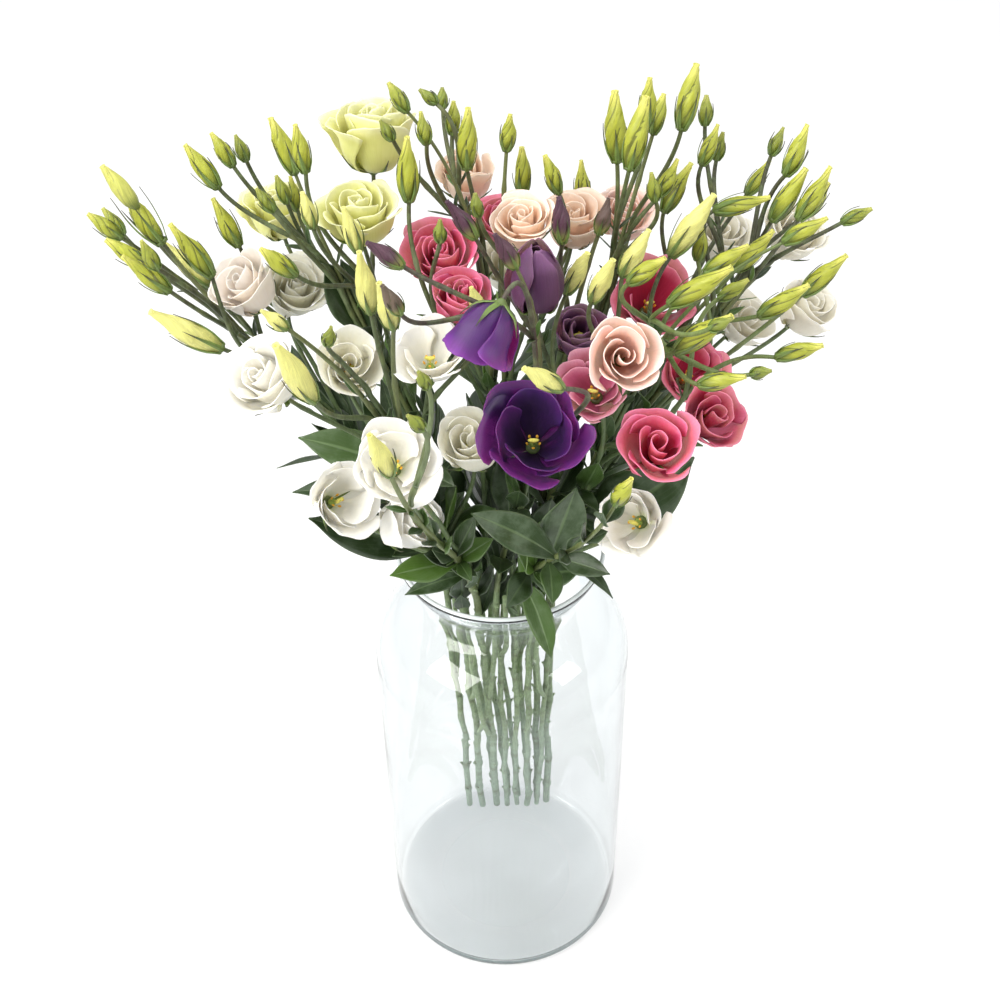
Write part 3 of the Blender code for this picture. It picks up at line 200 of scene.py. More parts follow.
# The buds of each spray: root of the bud (x, y, z) in cm, lean towards +X in degrees, length in cm.
# The first one ends the main stem.
BUDS = {
    "white_low_left": (
        (-5.8, -18.0, 62.3, -10, 3.9),
    ),
    "white_left": (
        (-11.6, -10.0, 66.1, -40, 2.2), (-10.1, -13.0, 63.4, -20, 5.2),
    ),
    "white_middle": (
        (-5.8, -9.0, 65.3, -10, 3.8), (-7.3, -6.0, 64.3, -5, 4.6), (-0.9, -5.4, 63.5, -15, 2.4),
    ),
    "purple_front": (
        (1.1, -6.0, 67.2, -25, 2.9), (-5.1, -9.0, 69.4, -45, 2.9), (-5.2, -11.4, 68.0, -20, 2.5),
        (3.3, -16.0, 66.3, -45, 3.2),
    ),
    "white_low_right": (
        (6.4, -16.5, 58.6, 15, 3.0),
    ),
    "peach_right": (
        (9.8, 6.6, 68.5, 15, 2.7), (7.4, 3.6, 68.3, -5, 4.8), (7.9, 1.0, 69.3, 10, 4.9),
        (9.1, 4.4, 70.2, 0, 3.4), (11.2, 4.0, 70.2, 10, 4.5), (9.9, 2.0, 66.9, 25, 2.8),
        (9.5, 0.4, 67.5, -10, 2.1), (7.5, -2.0, 63.9, 25, 3.8), (5.5, -5.4, 64.4, 20, 3.6),
        (4.2, -2.6, 63.1, 20, 3.5),
    ),
    "rose_right": (
        (17.1, -1.2, 65.5, 55, 3.3), (18.7, -1.0, 61.6, 40, 4.1), (15.4, -5.0, 62.9, 50, 3.7),
        (16.4, -6.4, 60.9, 65, 3.1), (12.3, -3.0, 64.6, 50, 3.4), (14.9, 1.6, 61.7, 40, 3.9),
        (9.8, -7.0, 65.2, 50, 4.7), (13.0, -4.6, 63.9, 50, 2.2), (10.0, -10.0, 64.2, 40, 4.5),
        (7.4, -7.4, 67.0, 45, 2.9), (11.1, -12.0, 63.3, 65, 2.9),
        (12.4, 1.0, 62.9, 5, 2.5),
    ),
    "white_far_left": (
        (-20.3, 1.0, 64.7, -30, 6.0), (-19.4, -3.0, 63.9, -45, 3.8), (-20.9, -1.2, 64.5, -50, 3.1),
        (-22.7, 1.0, 65.1, -50, 2.6), (-23.3, 3.6, 63.7, -30, 2.2), (-17.2, -1.0, 63.6, -30, 4.6),
        (-18.1, 2.2, 60.8, -40, 4.4), (-16.4, -5.0, 61.1, -55, 5.3), (-21.9, 4.4, 63.6, -25, 2.2),
        (-19.7, -3.6, 65.9, -25, 2.2), (-16.1, 3.2, 63.0, -25, 3.7),
    ),
    "yellow_left": (
        (-12.2, 4.0, 67.6, -15, 3.9), (-17.0, 4.0, 66.7, -35, 3.6), (-16.1, 5.0, 67.6, -30, 2.7),
        (-15.6, 7.0, 66.8, -20, 1.9), (-11.2, 1.4, 69.2, -10, 3.2), (-13.5, 2.0, 66.2, -30, 1.9),
        (-13.1, 5.4, 64.7, -15, 2.1), (-10.8, -1.0, 66.9, -10, 2.6), (-12.7, 8.0, 62.4, -10, 2.6),
        (-11.8, -3.0, 64.9, -45, 3.1), (-8.1, -2.4, 66.1, -10, 3.4),
    ),
    "pink_middle": (
        (-5.1, 3.0, 72.2, -30, 2.2),
        (-4.0, 2.2, 70.5, -10, 2.3), (-2.6, 6.0, 69.0, 5, 2.4), (-1.7, 3.0, 68.3, 0, 4.1),
        (-5.1, 0.0, 68.0, 0, 4.6),
    ),
    "purple_back": (
        (6.2, 0.5, 65.2, 15, 2.6), (3.9, -1.9, 66.2, -5, 3.3), (-1.2, -3.0, 67.3, -30, 3.3),
    ),
    "peach_middle": (
        (0.7, 3.2, 69.4, 5, 2.6), (1.7, 4.6, 65.6, 0, 3.2), (3.9, 3.6, 66.2, -20, 2.8),
        (5.7, 7.6, 62.9, -5, 3.2),
    ),
    "white_right": (
        (18.5, 2.0, 65.1, 30, 4.1), (13.1, 7.4, 68.6, 0, 2.1), (12.6, 4.0, 67.8, 20, 2.9),
        (14.1, 8.0, 65.8, 10, 2.0), (10.6, 5.0, 63.9, 25, 3.7), (13.3, 2.0, 65.8, 80, 3.7),
        (10.6, 0.0, 63.9, 30, 5.2), (17.3, 6.6, 66.9, 20, 2.0), (17.8, 4.0, 67.0, 25, 3.6),
        (16.1, 6.4, 64.3, 35, 2.8), (17.1, 3.0, 64.4, 30, 4.3), (19.5, 5.0, 63.4, 35, 2.9),
        (21.2, 2.0, 64.8, 60, 2.1),
    ),
}

# The large leaves of each spray: tip (x, y, z), length and width in cm, and for some of them how far
# the blade is turned to face the front, from 0 to 1.
LEAVES = {
    "white_low_left": (
        (-7.4, -9.5, 49.0, 6.0, 2.0), (-6.3, -7.5, 42.6, 5.0, 1.5), (-4.6, -10.0, 50.2, 5.5, 1.3),
    ),
    "white_left": (
        (-11.8, -6.5, 48.5, 12.5, 3.2, 0.9), (-12.8, -4.5, 53.8, 8.0, 2.8, 0.8),
        (-13.7, -5.0, 49.6, 9.0, 2.4), (-9.5, -4.0, 56.3, 8.0, 1.6), (-8.0, -4.0, 48.0, 6.5, 2.4),
    ),
    "white_middle": (
        (-2.4, -6.0, 50.4, 7.5, 3.4), (-3.7, -9.0, 52.8, 4.0, 1.3), (-1.0, -9.0, 53.6, 4.0, 1.8),
        (-4.6, -2.0, 50.0, 6.5, 2.4), (-3.4, -7.0, 46.5, 5.5, 2.2),
    ),
    "purple_front": (
        (-1.2, -9.5, 49.2, 3.6, 1.4), (-0.2, -8.8, 45.6, 5.5, 1.7), (1.6, -9.4, 49.6, 3.6, 1.4),
        (4.2, -9.0, 54.8, 5.0, 2.2), (0.8, -3.0, 52.0, 7.0, 2.6),
    ),
    "white_low_right": (
        (2.6, -8.6, 49.8, 7.5, 2.4), (3.6, -7.6, 48.4, 6.0, 3.0), (4.6, -9.6, 53.6, 6.5, 3.0),
        (3.5, -9.6, 37.6, 6.0, 1.9), (2.0, -5.0, 55.0, 6.5, 2.4),
    ),
    "peach_right": (
        (7.4, -12.0, 54.4, 4.6, 2.3), (6.9, -6.0, 48.0, 5.5, 1.9), (7.6, -7.0, 41.3, 7.0, 1.3),
        (5.6, -2.0, 50.5, 6.5, 2.4), (3.6, -3.0, 47.0, 6.0, 2.6),
    ),
    "rose_right": (
        (12.5, -4.0, 51.2, 13.5, 4.8, 0.9), (9.0, -7.5, 51.6, 7.5, 2.4), (9.8, -6.0, 45.4, 7.0, 2.6),
    ),
    "white_far_left": (
        (-14.3, -4.0, 50.8, 8.0, 1.3), (-15.4, -4.0, 56.6, 7.0, 1.6), (-9.0, 4.0, 46.0, 6.5, 2.6),
        (-11.0, 5.0, 52.5, 7.0, 2.6), (-7.0, 0.0, 50.5, 7.0, 2.4),
    ),
    "yellow_left": (
        (-10.6, 3.0, 61.6, 6.5, 2.6, 0.8), (-8.6, 5.0, 61.0, 7.0, 2.8, 0.8), (-5.0, 8.0, 47.5, 7.0, 2.6),
        (-7.6, 6.5, 53.5, 7.0, 2.4), (-4.0, 1.0, 47.5, 6.5, 2.6),
    ),
    "pink_middle": (
        (-1.4, 9.0, 49.0, 7.0, 2.8), (-4.4, 5.5, 54.5, 7.0, 2.4), (-2.4, 6.0, 43.6, 6.0, 2.4),
        (-1.6, 0.5, 50.0, 6.5, 2.6),
    ),
    "purple_back": (
        (2.4, 8.0, 52.5, 7.0, 2.6), (1.0, 6.6, 45.0, 6.0, 2.4), (-0.6, 3.0, 56.0, 6.0, 2.2),
        (2.0, 0.5, 49.0, 6.5, 2.6),
    ),
    "peach_middle": (
        (5.6, 7.4, 47.4, 7.0, 2.6), (4.4, 6.4, 55.5, 7.0, 2.4), (6.4, 1.0, 53.0, 6.5, 2.4),
        (3.4, 4.0, 43.8, 6.0, 2.4),
    ),
    "white_right": (
        (10.4, 5.6, 46.5, 7.5, 2.8), (12.2, 5.4, 51.0, 7.5, 2.6), (9.2, 8.0, 53.0, 7.0, 2.4),
        (8.8, 1.6, 44.0, 6.0, 2.4),
    ),
}

# The cup of each kind of bloom: its height and the reach of its petals from the axis for one
# radius, at equal steps from the receptacle to the rim, and the petals of each whorl as
# (number, reach, height, spread in degrees).
CUPS = {
    "open": (1.30, (0.08, 0.40, 0.70, 0.86, 0.93), ((5, 1.00, 1.00, 50),)),
    "bell": (1.65, (0.08, 0.54, 0.82, 0.87, 0.89), ((5, 1.00, 1.00, 50),)),
    "closed": (2.40, (0.08, 0.74, 0.88, 0.66, 0.22), ((5, 1.00, 1.00, 50),)),
    "rose": (1.45, (0.08, 0.54, 0.81, 0.88, 0.94), ((5, 1.00, 1.00, 46), (5, 0.60, 1.04, 50))),
}
RISE = (0.0, 0.14, 0.42, 0.74, 1.0)
PETAL_SPREAD = (0.64, 0.66, 0.72, 0.94, 1.0)


def unit(vector):
    """The vector at length one."""
    return np.asarray(vector, float) / (np.linalg.norm(vector) + 1e-12)


def draws(kind, number):
    """The random draws of one part."""
    return np.random.default_rng(FIRST_DRAWS[kind] + number)


def facing(azimuth, elevation):
    """The way that a bloom faces: azimuth from -Y towards +X, elevation above the level."""
    turn, rise = math.radians(azimuth), math.radians(elevation)
    return np.array([math.sin(turn) * math.cos(rise), -math.cos(turn) * math.cos(rise), math.sin(rise)])


def leaning(lean, depth):
    """The way that a bud points: lean towards +X, and a little outwards by its depth."""
    turn = math.radians(lean)
    outwards = 0.25 * max(-1.0, min(1.0, (depth / CM + 2.0) / 10.0))
    return unit([math.sin(turn), outwards, math.cos(turn)])


def bezier(p0, p1, p2, p3, steps):
    """Points along a cubic curve."""
    t = np.linspace(0.0, 1.0, steps)[:, None]
    return (1 - t) ** 3 * p0 + 3 * t * (1 - t) ** 2 * p1 + 3 * t**2 * (1 - t) * p2 + t**3 * p3


def through(values, at):
    """A smooth curve through equally spaced values."""
    values = np.asarray(values, float)
    at = np.clip(np.asarray(at, float), 0.0, 1.0) * (len(values) - 1)
    cell = np.minimum(at.astype(int), len(values) - 2)
    t = at - cell
    before, after = np.maximum(cell - 1, 0), np.minimum(cell + 2, len(values) - 1)
    a, b, c, d = values[before], values[cell], values[cell + 1], values[after]
    return b + 0.5 * t * (c - a + t * (2 * a - 5 * b + 4 * c - d + t * (3 * (b - c) + d - a)))


def tangents(points):
    """The unit direction of a line at each of its points."""
    run = np.gradient(points, axis=0)
    return run / (np.linalg.norm(run, axis=1, keepdims=True) + 1e-12)


class Room:
    """Balls along everything placed so far, which keep the pieces clear of each other."""

    def __init__(self):
        self.centres = np.zeros((0, 3))
        self.radii = np.zeros(0)
        self.owners = np.zeros(0, int)

    def add(self, centres, radii, owner):
        radii = np.broadcast_to(radii, len(centres))
        self.centres = np.vstack([self.centres, centres])
        self.radii = np.r_[self.radii, radii]
        self.owners = np.r_[self.owners, np.full(len(centres), owner)]

    def gap(self, centres, radii, owner, free=0.0, partner=-1):
        """The least gap to what is placed.

        The first stretch, free, may touch its own spray, and the last one the partner, which is
        the bloom that it carries.
        """
        radii = np.broadcast_to(radii, len(centres))
        reach = radii.max() + 0.02
        near = np.all(self.centres > centres.min(0) - reach - 0.02, axis=1)
        near &= np.all(self.centres < centres.max(0) + reach + 0.02, axis=1)
        if not near.any():
            return 1.0
        others, sizes, owners = self.centres[near], self.radii[near], self.owners[near]
        apart = np.linalg.norm(centres[:, None] - others[None], axis=2) - sizes[None] - radii[:, None]
        at_root = np.linalg.norm(centres - centres[0], axis=1) < free
        apart[at_root[:, None] & (owners == owner)[None]] = 1.0
        at_tip = np.linalg.norm(centres - centres[-1], axis=1) < BLOOM_REST
        apart[at_tip[:, None] & (owners == partner)[None]] = 1.0
        return float(apart.min())


def bloom_frame(place):
    """The base, axis and two cross directions of a bloom, with its radius and height."""
    _, kind, middle, way, across, _ = place
    axis = facing(*way)
    radius = across * CM / 2
    height = CUPS[kind][0] * radius
    side = unit(np.cross(axis, (0.0, 0.0, 1.0) if abs(axis[2]) < 0.98 else (0.0, -1.0, 0.0)))
    base = np.array(middle) * CM - axis * height * 0.5
    return base, axis, side, np.cross(axis, side), radius, height


def bloom_balls(place):
    """Balls that fill the wall of a bloom's cup."""
    base, axis, side, up, radius, height = bloom_frame(place)
    reach = CUPS[place[1]][1]
    centres, sizes = [], []
    for level, count in ((0.25, 5), (0.5, 9), (0.75, 12), (0.97, 14)):
        ring = radius * float(through(reach, through((0, 0.36, 0.55, 0.77, 1.0), level)))
        size = 0.30 * radius
        for step in range(count):
            turn = 2 * math.pi * step / count
            spoke = math.cos(turn) * side + math.sin(turn) * up
            centres.append(base + axis * height * (level - 0.05) + spoke * max(ring - 0.7 * size, 0.0))
            sizes.append(size)
    centres.append(base + axis * height * 0.62)
    sizes.append(0.5 * radius)
    return np.array(centres), np.array(sizes)


def bud_radius(length, at):
    """The radius of a bud along its length: calyx, belly and narrow twisted tip."""
    belly = BUD_GIRTH + BUD_FATNESS * length
    return belly * through((0.42, 0.86, 1.0, 0.80, 0.46, 0.24), at)


class Spray:
    """One leafy stem: its tubes, with what each ends in, its leaves, and where it forks."""

    def __init__(self, name, number):
        self.name, self.number = name, number
        self.tubes, self.leaves, self.forks = [], [], []
        self.shoots, self.partners, self.bracts = [], [], []


def lead_line(name, tip, way):
    """The main stem from its foot on the vase's floor, through the neck, to its tip."""
    foot, neck = SPRAYS[name]
    start = np.array([foot[0] * CM, foot[1] * CM, FLOOR + SEAT_GAP])
    throat = np.array([neck[0] * CM, neck[1] * CM, NECK_HEIGHT + 0.012])
    rise = unit(throat - start)
    reach = np.linalg.norm(tip - throat)
    lean = unit(rise + 0.7 * unit(tip - throat))
    upper = [throat, throat + lean * reach * 0.35, tip - way * reach * 0.30, tip]
    return start, throat, upper


def bud_body(tip, way, length):
    """Points and radii along a bud."""
    at = np.linspace(0.0, 1.0, 7)
    return tip + way * length * at[:, None], bud_radius(length, at)


def bends(gone, size, ring, count):
    """No bend at first, then bends of growing size, a ring of them for each size."""
    side = unit(np.cross(gone, (0.0, 1.0, 0.0)))
    back = unit(np.cross(side, gone))
    for step in range(count):
        turn, reach = math.radians(360.0 / ring * step), size * ((step + ring - 1) // ring)
        yield reach * (math.cos(turn) * side + math.sin(turn) * back)


def spun(level, run, turn):
    """A direction across a stem's run, turned round it."""
    return level * math.cos(turn) + np.cross(run, level) * math.sin(turn)


def walked(line):
    """How far along a line each of its points lies."""
    return np.r_[0.0, np.cumsum(np.linalg.norm(np.diff(line, axis=0), axis=1))]


def bud_end(x, y, z, lean, length):
    """A bud's root, the way that it points, and what its stalk ends in."""
    return np.array([x, y, z]) * CM, leaning(lean, y * CM), {"kind": "bud", "length": length * CM}


def grow_lead(spray, room, tip, way, ends):
    """The main stem, bent a little wherever it would cross another piece."""
    start, throat, upper = lead_line(spray.name, tip, way)
    body, bulk = bud_body(tip, way, ends["length"])
    lower = np.linspace(start, throat, NECK_STEP + 1)[:-1]
    radii = np.r_[np.linspace(STEM_FOOT_RADIUS, STEM_NECK_RADIUS, NECK_STEP),
                  np.linspace(STEM_NECK_RADIUS, STEM_TOP_RADIUS, LEAD_STEPS)]
    widest, best = None, None
    for bend in bends(tip - throat, LEAD_BEND, 8, LEAD_BENDS):
        curve = bezier(upper[0], upper[1] + 0.5 * bend, upper[2] + bend, upper[3], LEAD_STEPS)
        line = np.vstack([lower, curve])
        gap = room.gap(np.vstack([line, body]), np.r_[radii, bulk], spray.number)
        if best is None or gap > widest:
            widest, best = gap, line
        if gap > CLEAR:
            break
    spray.tubes.append({"line": best, "radii": radii, "ends": ends, "lead": True, "way": way})
    room.add(best, radii, spray.number)
    room.add(body, bulk, spray.number)


def roots_for(spray, tip, way, wanted):
    """Places on a spray where a branch to this tip may start, the likeliest first."""
    found = []
    for index, tube in enumerate(spray.tubes):
        line = tube["line"]
        run = tangents(line)
        first, last = (0, len(line) - 6) if tube["lead"] else (6, len(line) - 5)
        for k in range(first, last, 3):
            if line[k, 2] < LOWEST_LEAF + 0.008:
                continue
            gone = tip - line[k]
            span = np.linalg.norm(gone)
            if not BRANCH_SPAN[0] < span < BRANCH_SPAN[1]:
                continue
            leave = math.acos(np.clip(run[k] @ gone / span, -1, 1))
            arrive = math.acos(np.clip(way @ gone / span, -1, 1))
            crowd = sum(np.linalg.norm(line[k] - fork) < CROWDED_FORK for fork in spray.forks)
            cost = abs(span - wanted) / 0.04 + 2.4 * leave + 0.6 * arrive + 1.2 * crowd
            found.append((cost + (1.5 if leave > WIDE_FORK else 0.0), index, k))
    return sorted(found)[:BRANCH_ROOTS]


def branch_ways(spray, room, tip, way, length, wanted):
    """Ways for a branch to this tip, the likeliest first: its root, its line, and the bud on it."""
    slides = SLIDES if length else SLIDES[:1]
    for slide in slides:
        moved = tip + slide * np.array([0.0, 1.0, -SIGHT_SLOPE])
        body, bulk = bud_body(moved, way, length) if length else (np.zeros((0, 3)), np.zeros(0))
        if length and room.gap(body, bulk, spray.number) < CLEAR and slide != slides[-1]:
            continue
        for _, index, k in roots_for(spray, moved, way, wanted):
            line = spray.tubes[index]["line"]
            root, run = line[k], tangents(line)[k]
            gone = moved - root
            span = np.linalg.norm(gone)
            leave = unit(run + 1.1 * gone / span)
            for bend in bends(gone, BRANCH_BEND, 6, BRANCH_BENDS):
                path = bezier(root, root + leave * span * 0.33 + bend, moved - way * span * 0.33 + bend,
                              moved, BRANCH_STEPS)
                yield root, path, body[1:], bulk[1:]


def grow_branch(spray, room, tip, way, ends, wanted, partner=-1):
    """A branch to a bud or bloom, from where and by the way that leave it clear of the rest."""
    radii = np.linspace(BRANCH_ROOT_RADIUS, BRANCH_TIP_RADIUS, BRANCH_STEPS)
    widest, best = None, None
    for root, line, body, bulk in branch_ways(spray, room, tip, way, ends.get("length", 0.0), wanted):
        centres, sizes = np.vstack([line, body]), np.r_[radii, bulk]
        gap = room.gap(centres, sizes, spray.number, BRANCH_REST, partner)
        if best is None or gap > widest:
            widest, best = gap, (root, line, centres, sizes)
        if gap > CLEAR:
            break
    root, line, centres, sizes = best
    spray.tubes.append({"line": line, "radii": radii, "ends": ends, "lead": False, "way": way})
    spray.forks.append(root)
    room.add(centres, sizes, spray.number)


def leaf_shape(root, run, tip, width, steps, front=0.0):
    """The midrib of a leaf, its width directions and half widths."""
    gone = tip - root
    span = np.linalg.norm(gone)
    out = unit(gone - run * (gone @ run) * 0.7)
    leave = unit(0.55 * run + 0.8 * out)
    arrive = unit(gone / span - leave * 0.55)
    line = bezier(root, root + leave * span * 0.40, tip - arrive * span * 0.32, tip, steps)
    direction = tangents(line)
    upper = (run - out * 0.6) * (1.0 - front) + np.array([0.0, -0.74, 0.67]) * front
    normal = upper[None] - direction * (direction @ upper)[:, None]
    normal /= np.linalg.norm(normal, axis=1, keepdims=True) + 1e-9
    across = np.cross(direction, normal)
    at = np.linspace(0.0, 1.0, steps)
    half = 0.5 * width * through((0.16, 0.62, 0.98, 0.92, 0.58, 0.03), at)
    return line, across, normal, half


def leaf_balls(shape):
    """Balls over a leaf's blade."""
    line, across, normal, half = shape
    centres, sizes = [], []
    for share in (0.0, -0.42, 0.42, -0.86, 0.86):
        lift = 0.16 * abs(share)
        centres.append(line + (across * share + normal * lift) * half[:, None])
        sizes.append(np.minimum(0.0022, 0.25 * half + 0.0008))
    return np.vstack(centres), np.concatenate(sizes)


def leaf_root(spray, goal, span):
    """The place on a spray, and the stem's run there, from which a leaf of this span best starts."""
    least, best = None, None
    for tube in spray.tubes:
        line, lead = tube["line"], tube["lead"]
        run = tangents(line)
        usable = [k for k in range(0 if lead else 6, len(line) - 8) if line[k, 2] > LOWEST_LEAF]
        for k in usable[::2]:
            reach = np.linalg.norm(goal - line[k])
            miss = abs(reach - 0.92 * span) + 0.5 * max(0.0, line[k, 2] - max(goal[2] - 0.02, 0.42))
            miss += 0.0 if lead else 0.015
            if best is None or miss < least:
                least, best = miss, (line[k], run[k])
    return best


def grow_leaf(spray, room, leaf):
    """A leaf from the main stem to about this tip, turned until it is clear of the rest."""
    goal, span, width = np.array(leaf[:3]) * CM, leaf[3] * CM, leaf[4] * CM
    front = leaf[5] if len(leaf) > 5 else 0.0
    root, run = leaf_root(spray, goal, span)
    gone = unit(goal - root) * LEAF_REACH * span
    level = gone - run * (gone @ run)
    widest, best = None, None
    for step in range(LEAF_TURNS * len(LEAF_LIFTS)):
        turn = math.radians(LEAF_TURN * ((step % LEAF_TURNS + 1) // 2) * (1 if step % 2 else -1))
        lift = LEAF_LIFTS[step // LEAF_TURNS]
        tip = root + unit(run * (gone @ run + lift) + spun(level, run, turn)) * LEAF_REACH * span
        centres, sizes = leaf_balls(leaf_shape(root, run, tip, width, 13, front))
        gap = room.gap(centres, sizes, spray.number, LEAF_REST)
        if best is None or gap > widest:
            widest, best = gap, (tip, centres, sizes)
        if gap > LEAF_CLEAR:
            break
    tip, centres, sizes = best
    spray.leaves.append({"root": root, "run": run, "tip": tip, "width": width, "front": front})
    room.add(centres, sizes, spray.number)


def shoulder(steps, step):
    """A ring (radius, height) on the shoulder's dome, where step of steps is its end in the neck."""
    turn = math.radians(80.0 * step / steps)
    return (BODY_RADIUS - (BODY_RADIUS - NECK_RADIUS) * (1 - math.cos(turn)) / 0.92,
            SHOULDER_START + (NECK_HEIGHT - 0.012 - SHOULDER_START) * math.sin(turn))


def vase_rings():
    """Rings (radius, height) up the outside of the glass, from the shoulder to the lip."""
    rings = [shoulder(4, step) for step in (1, 2, 3, 4)] + [(NECK_RADIUS, NECK_HEIGHT)]
    for share in (1 / 3, 2 / 3):
        rings.append((NECK_RADIUS + (LIP_RADIUS - NECK_RADIUS) * share**1.3,
                      NECK_HEIGHT + (LIP_HEIGHT - NECK_HEIGHT) * share**0.8))
    return rings + [(LIP_RADIUS, LIP_HEIGHT), (LIP_RADIUS - 0.001, VASE_HEIGHT)]


def vase_balls(room):
    """Balls along the glass where leaves come near it."""
    for radius, height in vase_rings():
        count = int(2 * math.pi * radius / 0.005)
        turn = np.linspace(0.0, 2 * math.pi, count, endpoint=False)
        ring = np.stack([(radius - 0.0015) * np.cos(turn), (radius - 0.0015) * np.sin(turn),
                         np.full(count, height)], axis=1)
        room.add(ring, 0.0035, VASE_OWNER)


def arrange():
    """Where every stem, branch, bud, bloom and leaf goes, and the room that is taken."""
    room = Room()
    sprays = {name: Spray(name, number) for number, name in enumerate(SPRAYS)}
    blooms = {}
    vase_balls(room)
    for name in SPRAYS:
        for place in BLOOMS[name]:
            number = FIRST_BLOOM_OWNER + len(blooms)
            room.add(*bloom_balls(place), number)
            blooms[place[0]] = (name, number, place)
    for name, spray in sprays.items():
        grow_lead(spray, room, *bud_end(*BUDS[name][0]))
    for name, (owner, number, place) in blooms.items():
        base, axis = bloom_frame(place)[:2]
        ends = {"kind": "bloom", "name": name}
        grow_branch(sprays[owner], room, base - axis * SEAT_GAP, axis, ends, BLOOM_BRANCH, number)
    for name, spray in sprays.items():
        for bud in BUDS[name][1:]:
            grow_branch(spray, room, *bud_end(*bud), BUD_BRANCH)
    for name, spray in sprays.items():
        for leaf in LEAVES[name]:
            grow_leaf(spray, room, leaf)
    return sprays, blooms, room


# The photograph's camera: where it stands, how far it looks down, its roll and its lens
EYE = (0.0, -0.808, 1.169)
EYE_DOWN = 42.0
EYE_ROLL = -0.85
EYE_LENS = 56.6

# The lights: name, place, the point they face, size, power in watts and colour
LIGHTS = (
    ("window_left", (-1.7, -1.3, 2.0), (0.0, 0.0, 0.5), (1.8, 1.8), 82.0, (1.0, 0.985, 0.95)),
    ("window_right", (1.7, -0.9, 1.4), (0.0, 0.0, 0.45), (0.8, 1.1), 17.0, (1.0, 0.99, 0.97)),
    ("sky_top", (0.0, 0.2, 2.4), (0.0, 0.0, 0.4), (1.8, 1.8), 28.0, (1.0, 1.0, 1.0)),
)

# How the petals of each kind of bloom are set, from the outside in: number of petals, reach and
# height as shares of the cup's, half spread in degrees, outward curl of the rim, ruffle, how far
# the mouth draws in, and the spiral overlap.
WHORLS = {
    "rose": (
        (5, 1.00, 0.96, 54, 0.24, 0.070, 0.00, 0.13), (4, 0.78, 1.03, 66, 0.12, 0.060, 0.03, 0.20),
        (3, 0.52, 1.05, 80, 0.05, 0.035, 0.10, 0.30), (3, 0.30, 1.04, 88, 0.02, 0.020, 0.20, 0.38),
        (2, 0.13, 1.00, 120, 0.00, 0.00, 0.25, 0.45),
    ),
    "open": (
        (5, 1.00, 1.00, 54, 0.22, 0.075, 0.00, 0.13), (4, 0.80, 0.98, 60, 0.10, 0.060, 0.00, 0.18),
    ),
    "bell": (
        (5, 1.00, 1.00, 54, 0.18, 0.080, 0.00, 0.14), (4, 0.78, 1.00, 62, 0.06, 0.060, 0.08, 0.20),
        (3, 0.52, 0.98, 76, 0.02, 0.030, 0.18, 0.28),
    ),
    "swirl": (
        (4, 1.00, 0.98, 74, 0.24, 0.075, 0.00, 0.16), (3, 0.74, 1.02, 88, 0.12, 0.055, 0.06, 0.24),
        (3, 0.46, 1.00, 96, 0.04, 0.030, 0.16, 0.34), (2, 0.20, 0.96, 125, 0.00, 0.010, 0.22, 0.42),
    ),
    "goblet": (
        (4, 0.96, 0.99, 72, 0.15, 0.085, 0.00, 0.18), (3, 0.64, 1.03, 90, 0.10, 0.060, 0.10, 0.28),
        (2, 0.30, 1.00, 125, 0.02, 0.020, 0.22, 0.42),
    ),
    "closed": (
        (5, 1.00, 1.00, 56, 0.00, 0.015, 0.00, 0.12), (3, 0.80, 0.98, 80, 0.00, 0.010, 0.10, 0.24),
    ),
}
# Blooms that open like a rose with few broad petals, and those like a goblet
SWIRLED = ("peach_rose_side", "peach_rose_behind", "white_ruffled_left", "blush_rose_far_left",
           "cream_bell_far_left", "blush_rose_back", "pink_cup_middle", "white_cup_back_right")
GOBLETS = ("blush_rose_front", "rose_cup_front", "white_goblet_left", "white_bell_middle",
           "rose_cup_right", "white_rose_far_right", "white_rose_back_right", "white_cup_right")

# Thickness of petals, leaves and sepals, the share of the cup that petals reach, the gap under
# sepals, the size of a bloom's middle, and the sides of a stalk
PETAL_THICK = 0.00035
PETAL_REACH = 0.90
LEAF_THICK = 0.0005
SEPAL_THICK = 0.0004
SEPAL_GAP = 0.0004
CENTRE_SIZE = 0.0125
STALK_SIDES = 10
# The joints of a stalk: where the first one may lie, how far apart they are, how long each swells,
# and how far a stalk bends at them
FIRST_JOINT = (0.02, 0.05)
JOINT_STEP = (0.034, 0.052)
JOINT_LENGTH = 0.0030
JOINT_BEND = 0.0017
# The lowest fork whose branch first runs up along the stem, and for how long it may do so
RUN_LEVEL = 0.46
RUN_LENGTH = (0.03, 0.09)
# The side shoots in the glass: their forks' heights and their lengths
SHOOT_LEVELS = (0.12, 0.33)
SHOOT_LENGTH = (0.10, 0.24)
# The smaller leaves up a stem: where they start and end, where they turn small, the top of the
# bare stem with its cut stubs, and how much room they ask for
FILL_START = 0.352
FILL_END = 0.570
FILL_LOW = 0.50
STUB_TOP = 0.40
SMALL_REST = 0.010
SMALL_CLEAR = 0.0002
BRACT_CLEAR = 0.0003
# A bud: its radius along its length, how far the six columns of each petal stand out, the degrees
# from one petal to the next, and how much wider the fullest bud is along its length
BUD_OUTLINE = (0.46, 0.86, 1.0, 0.92, 0.64, 0.37, 0.27)
BUD_WALLS = (1.07, 1.065, 1.05, 1.025, 0.99, 0.93)
BUD_FOLD = 72.0
FULL_BUD = (1.0, 1.0, 1.0, 1.10, 1.30, 1.45, 1.30)
# Sprays whose sepals are long and stand off
FAR_SPRAYS = ("white_far_left", "white_right", "yellow_left")

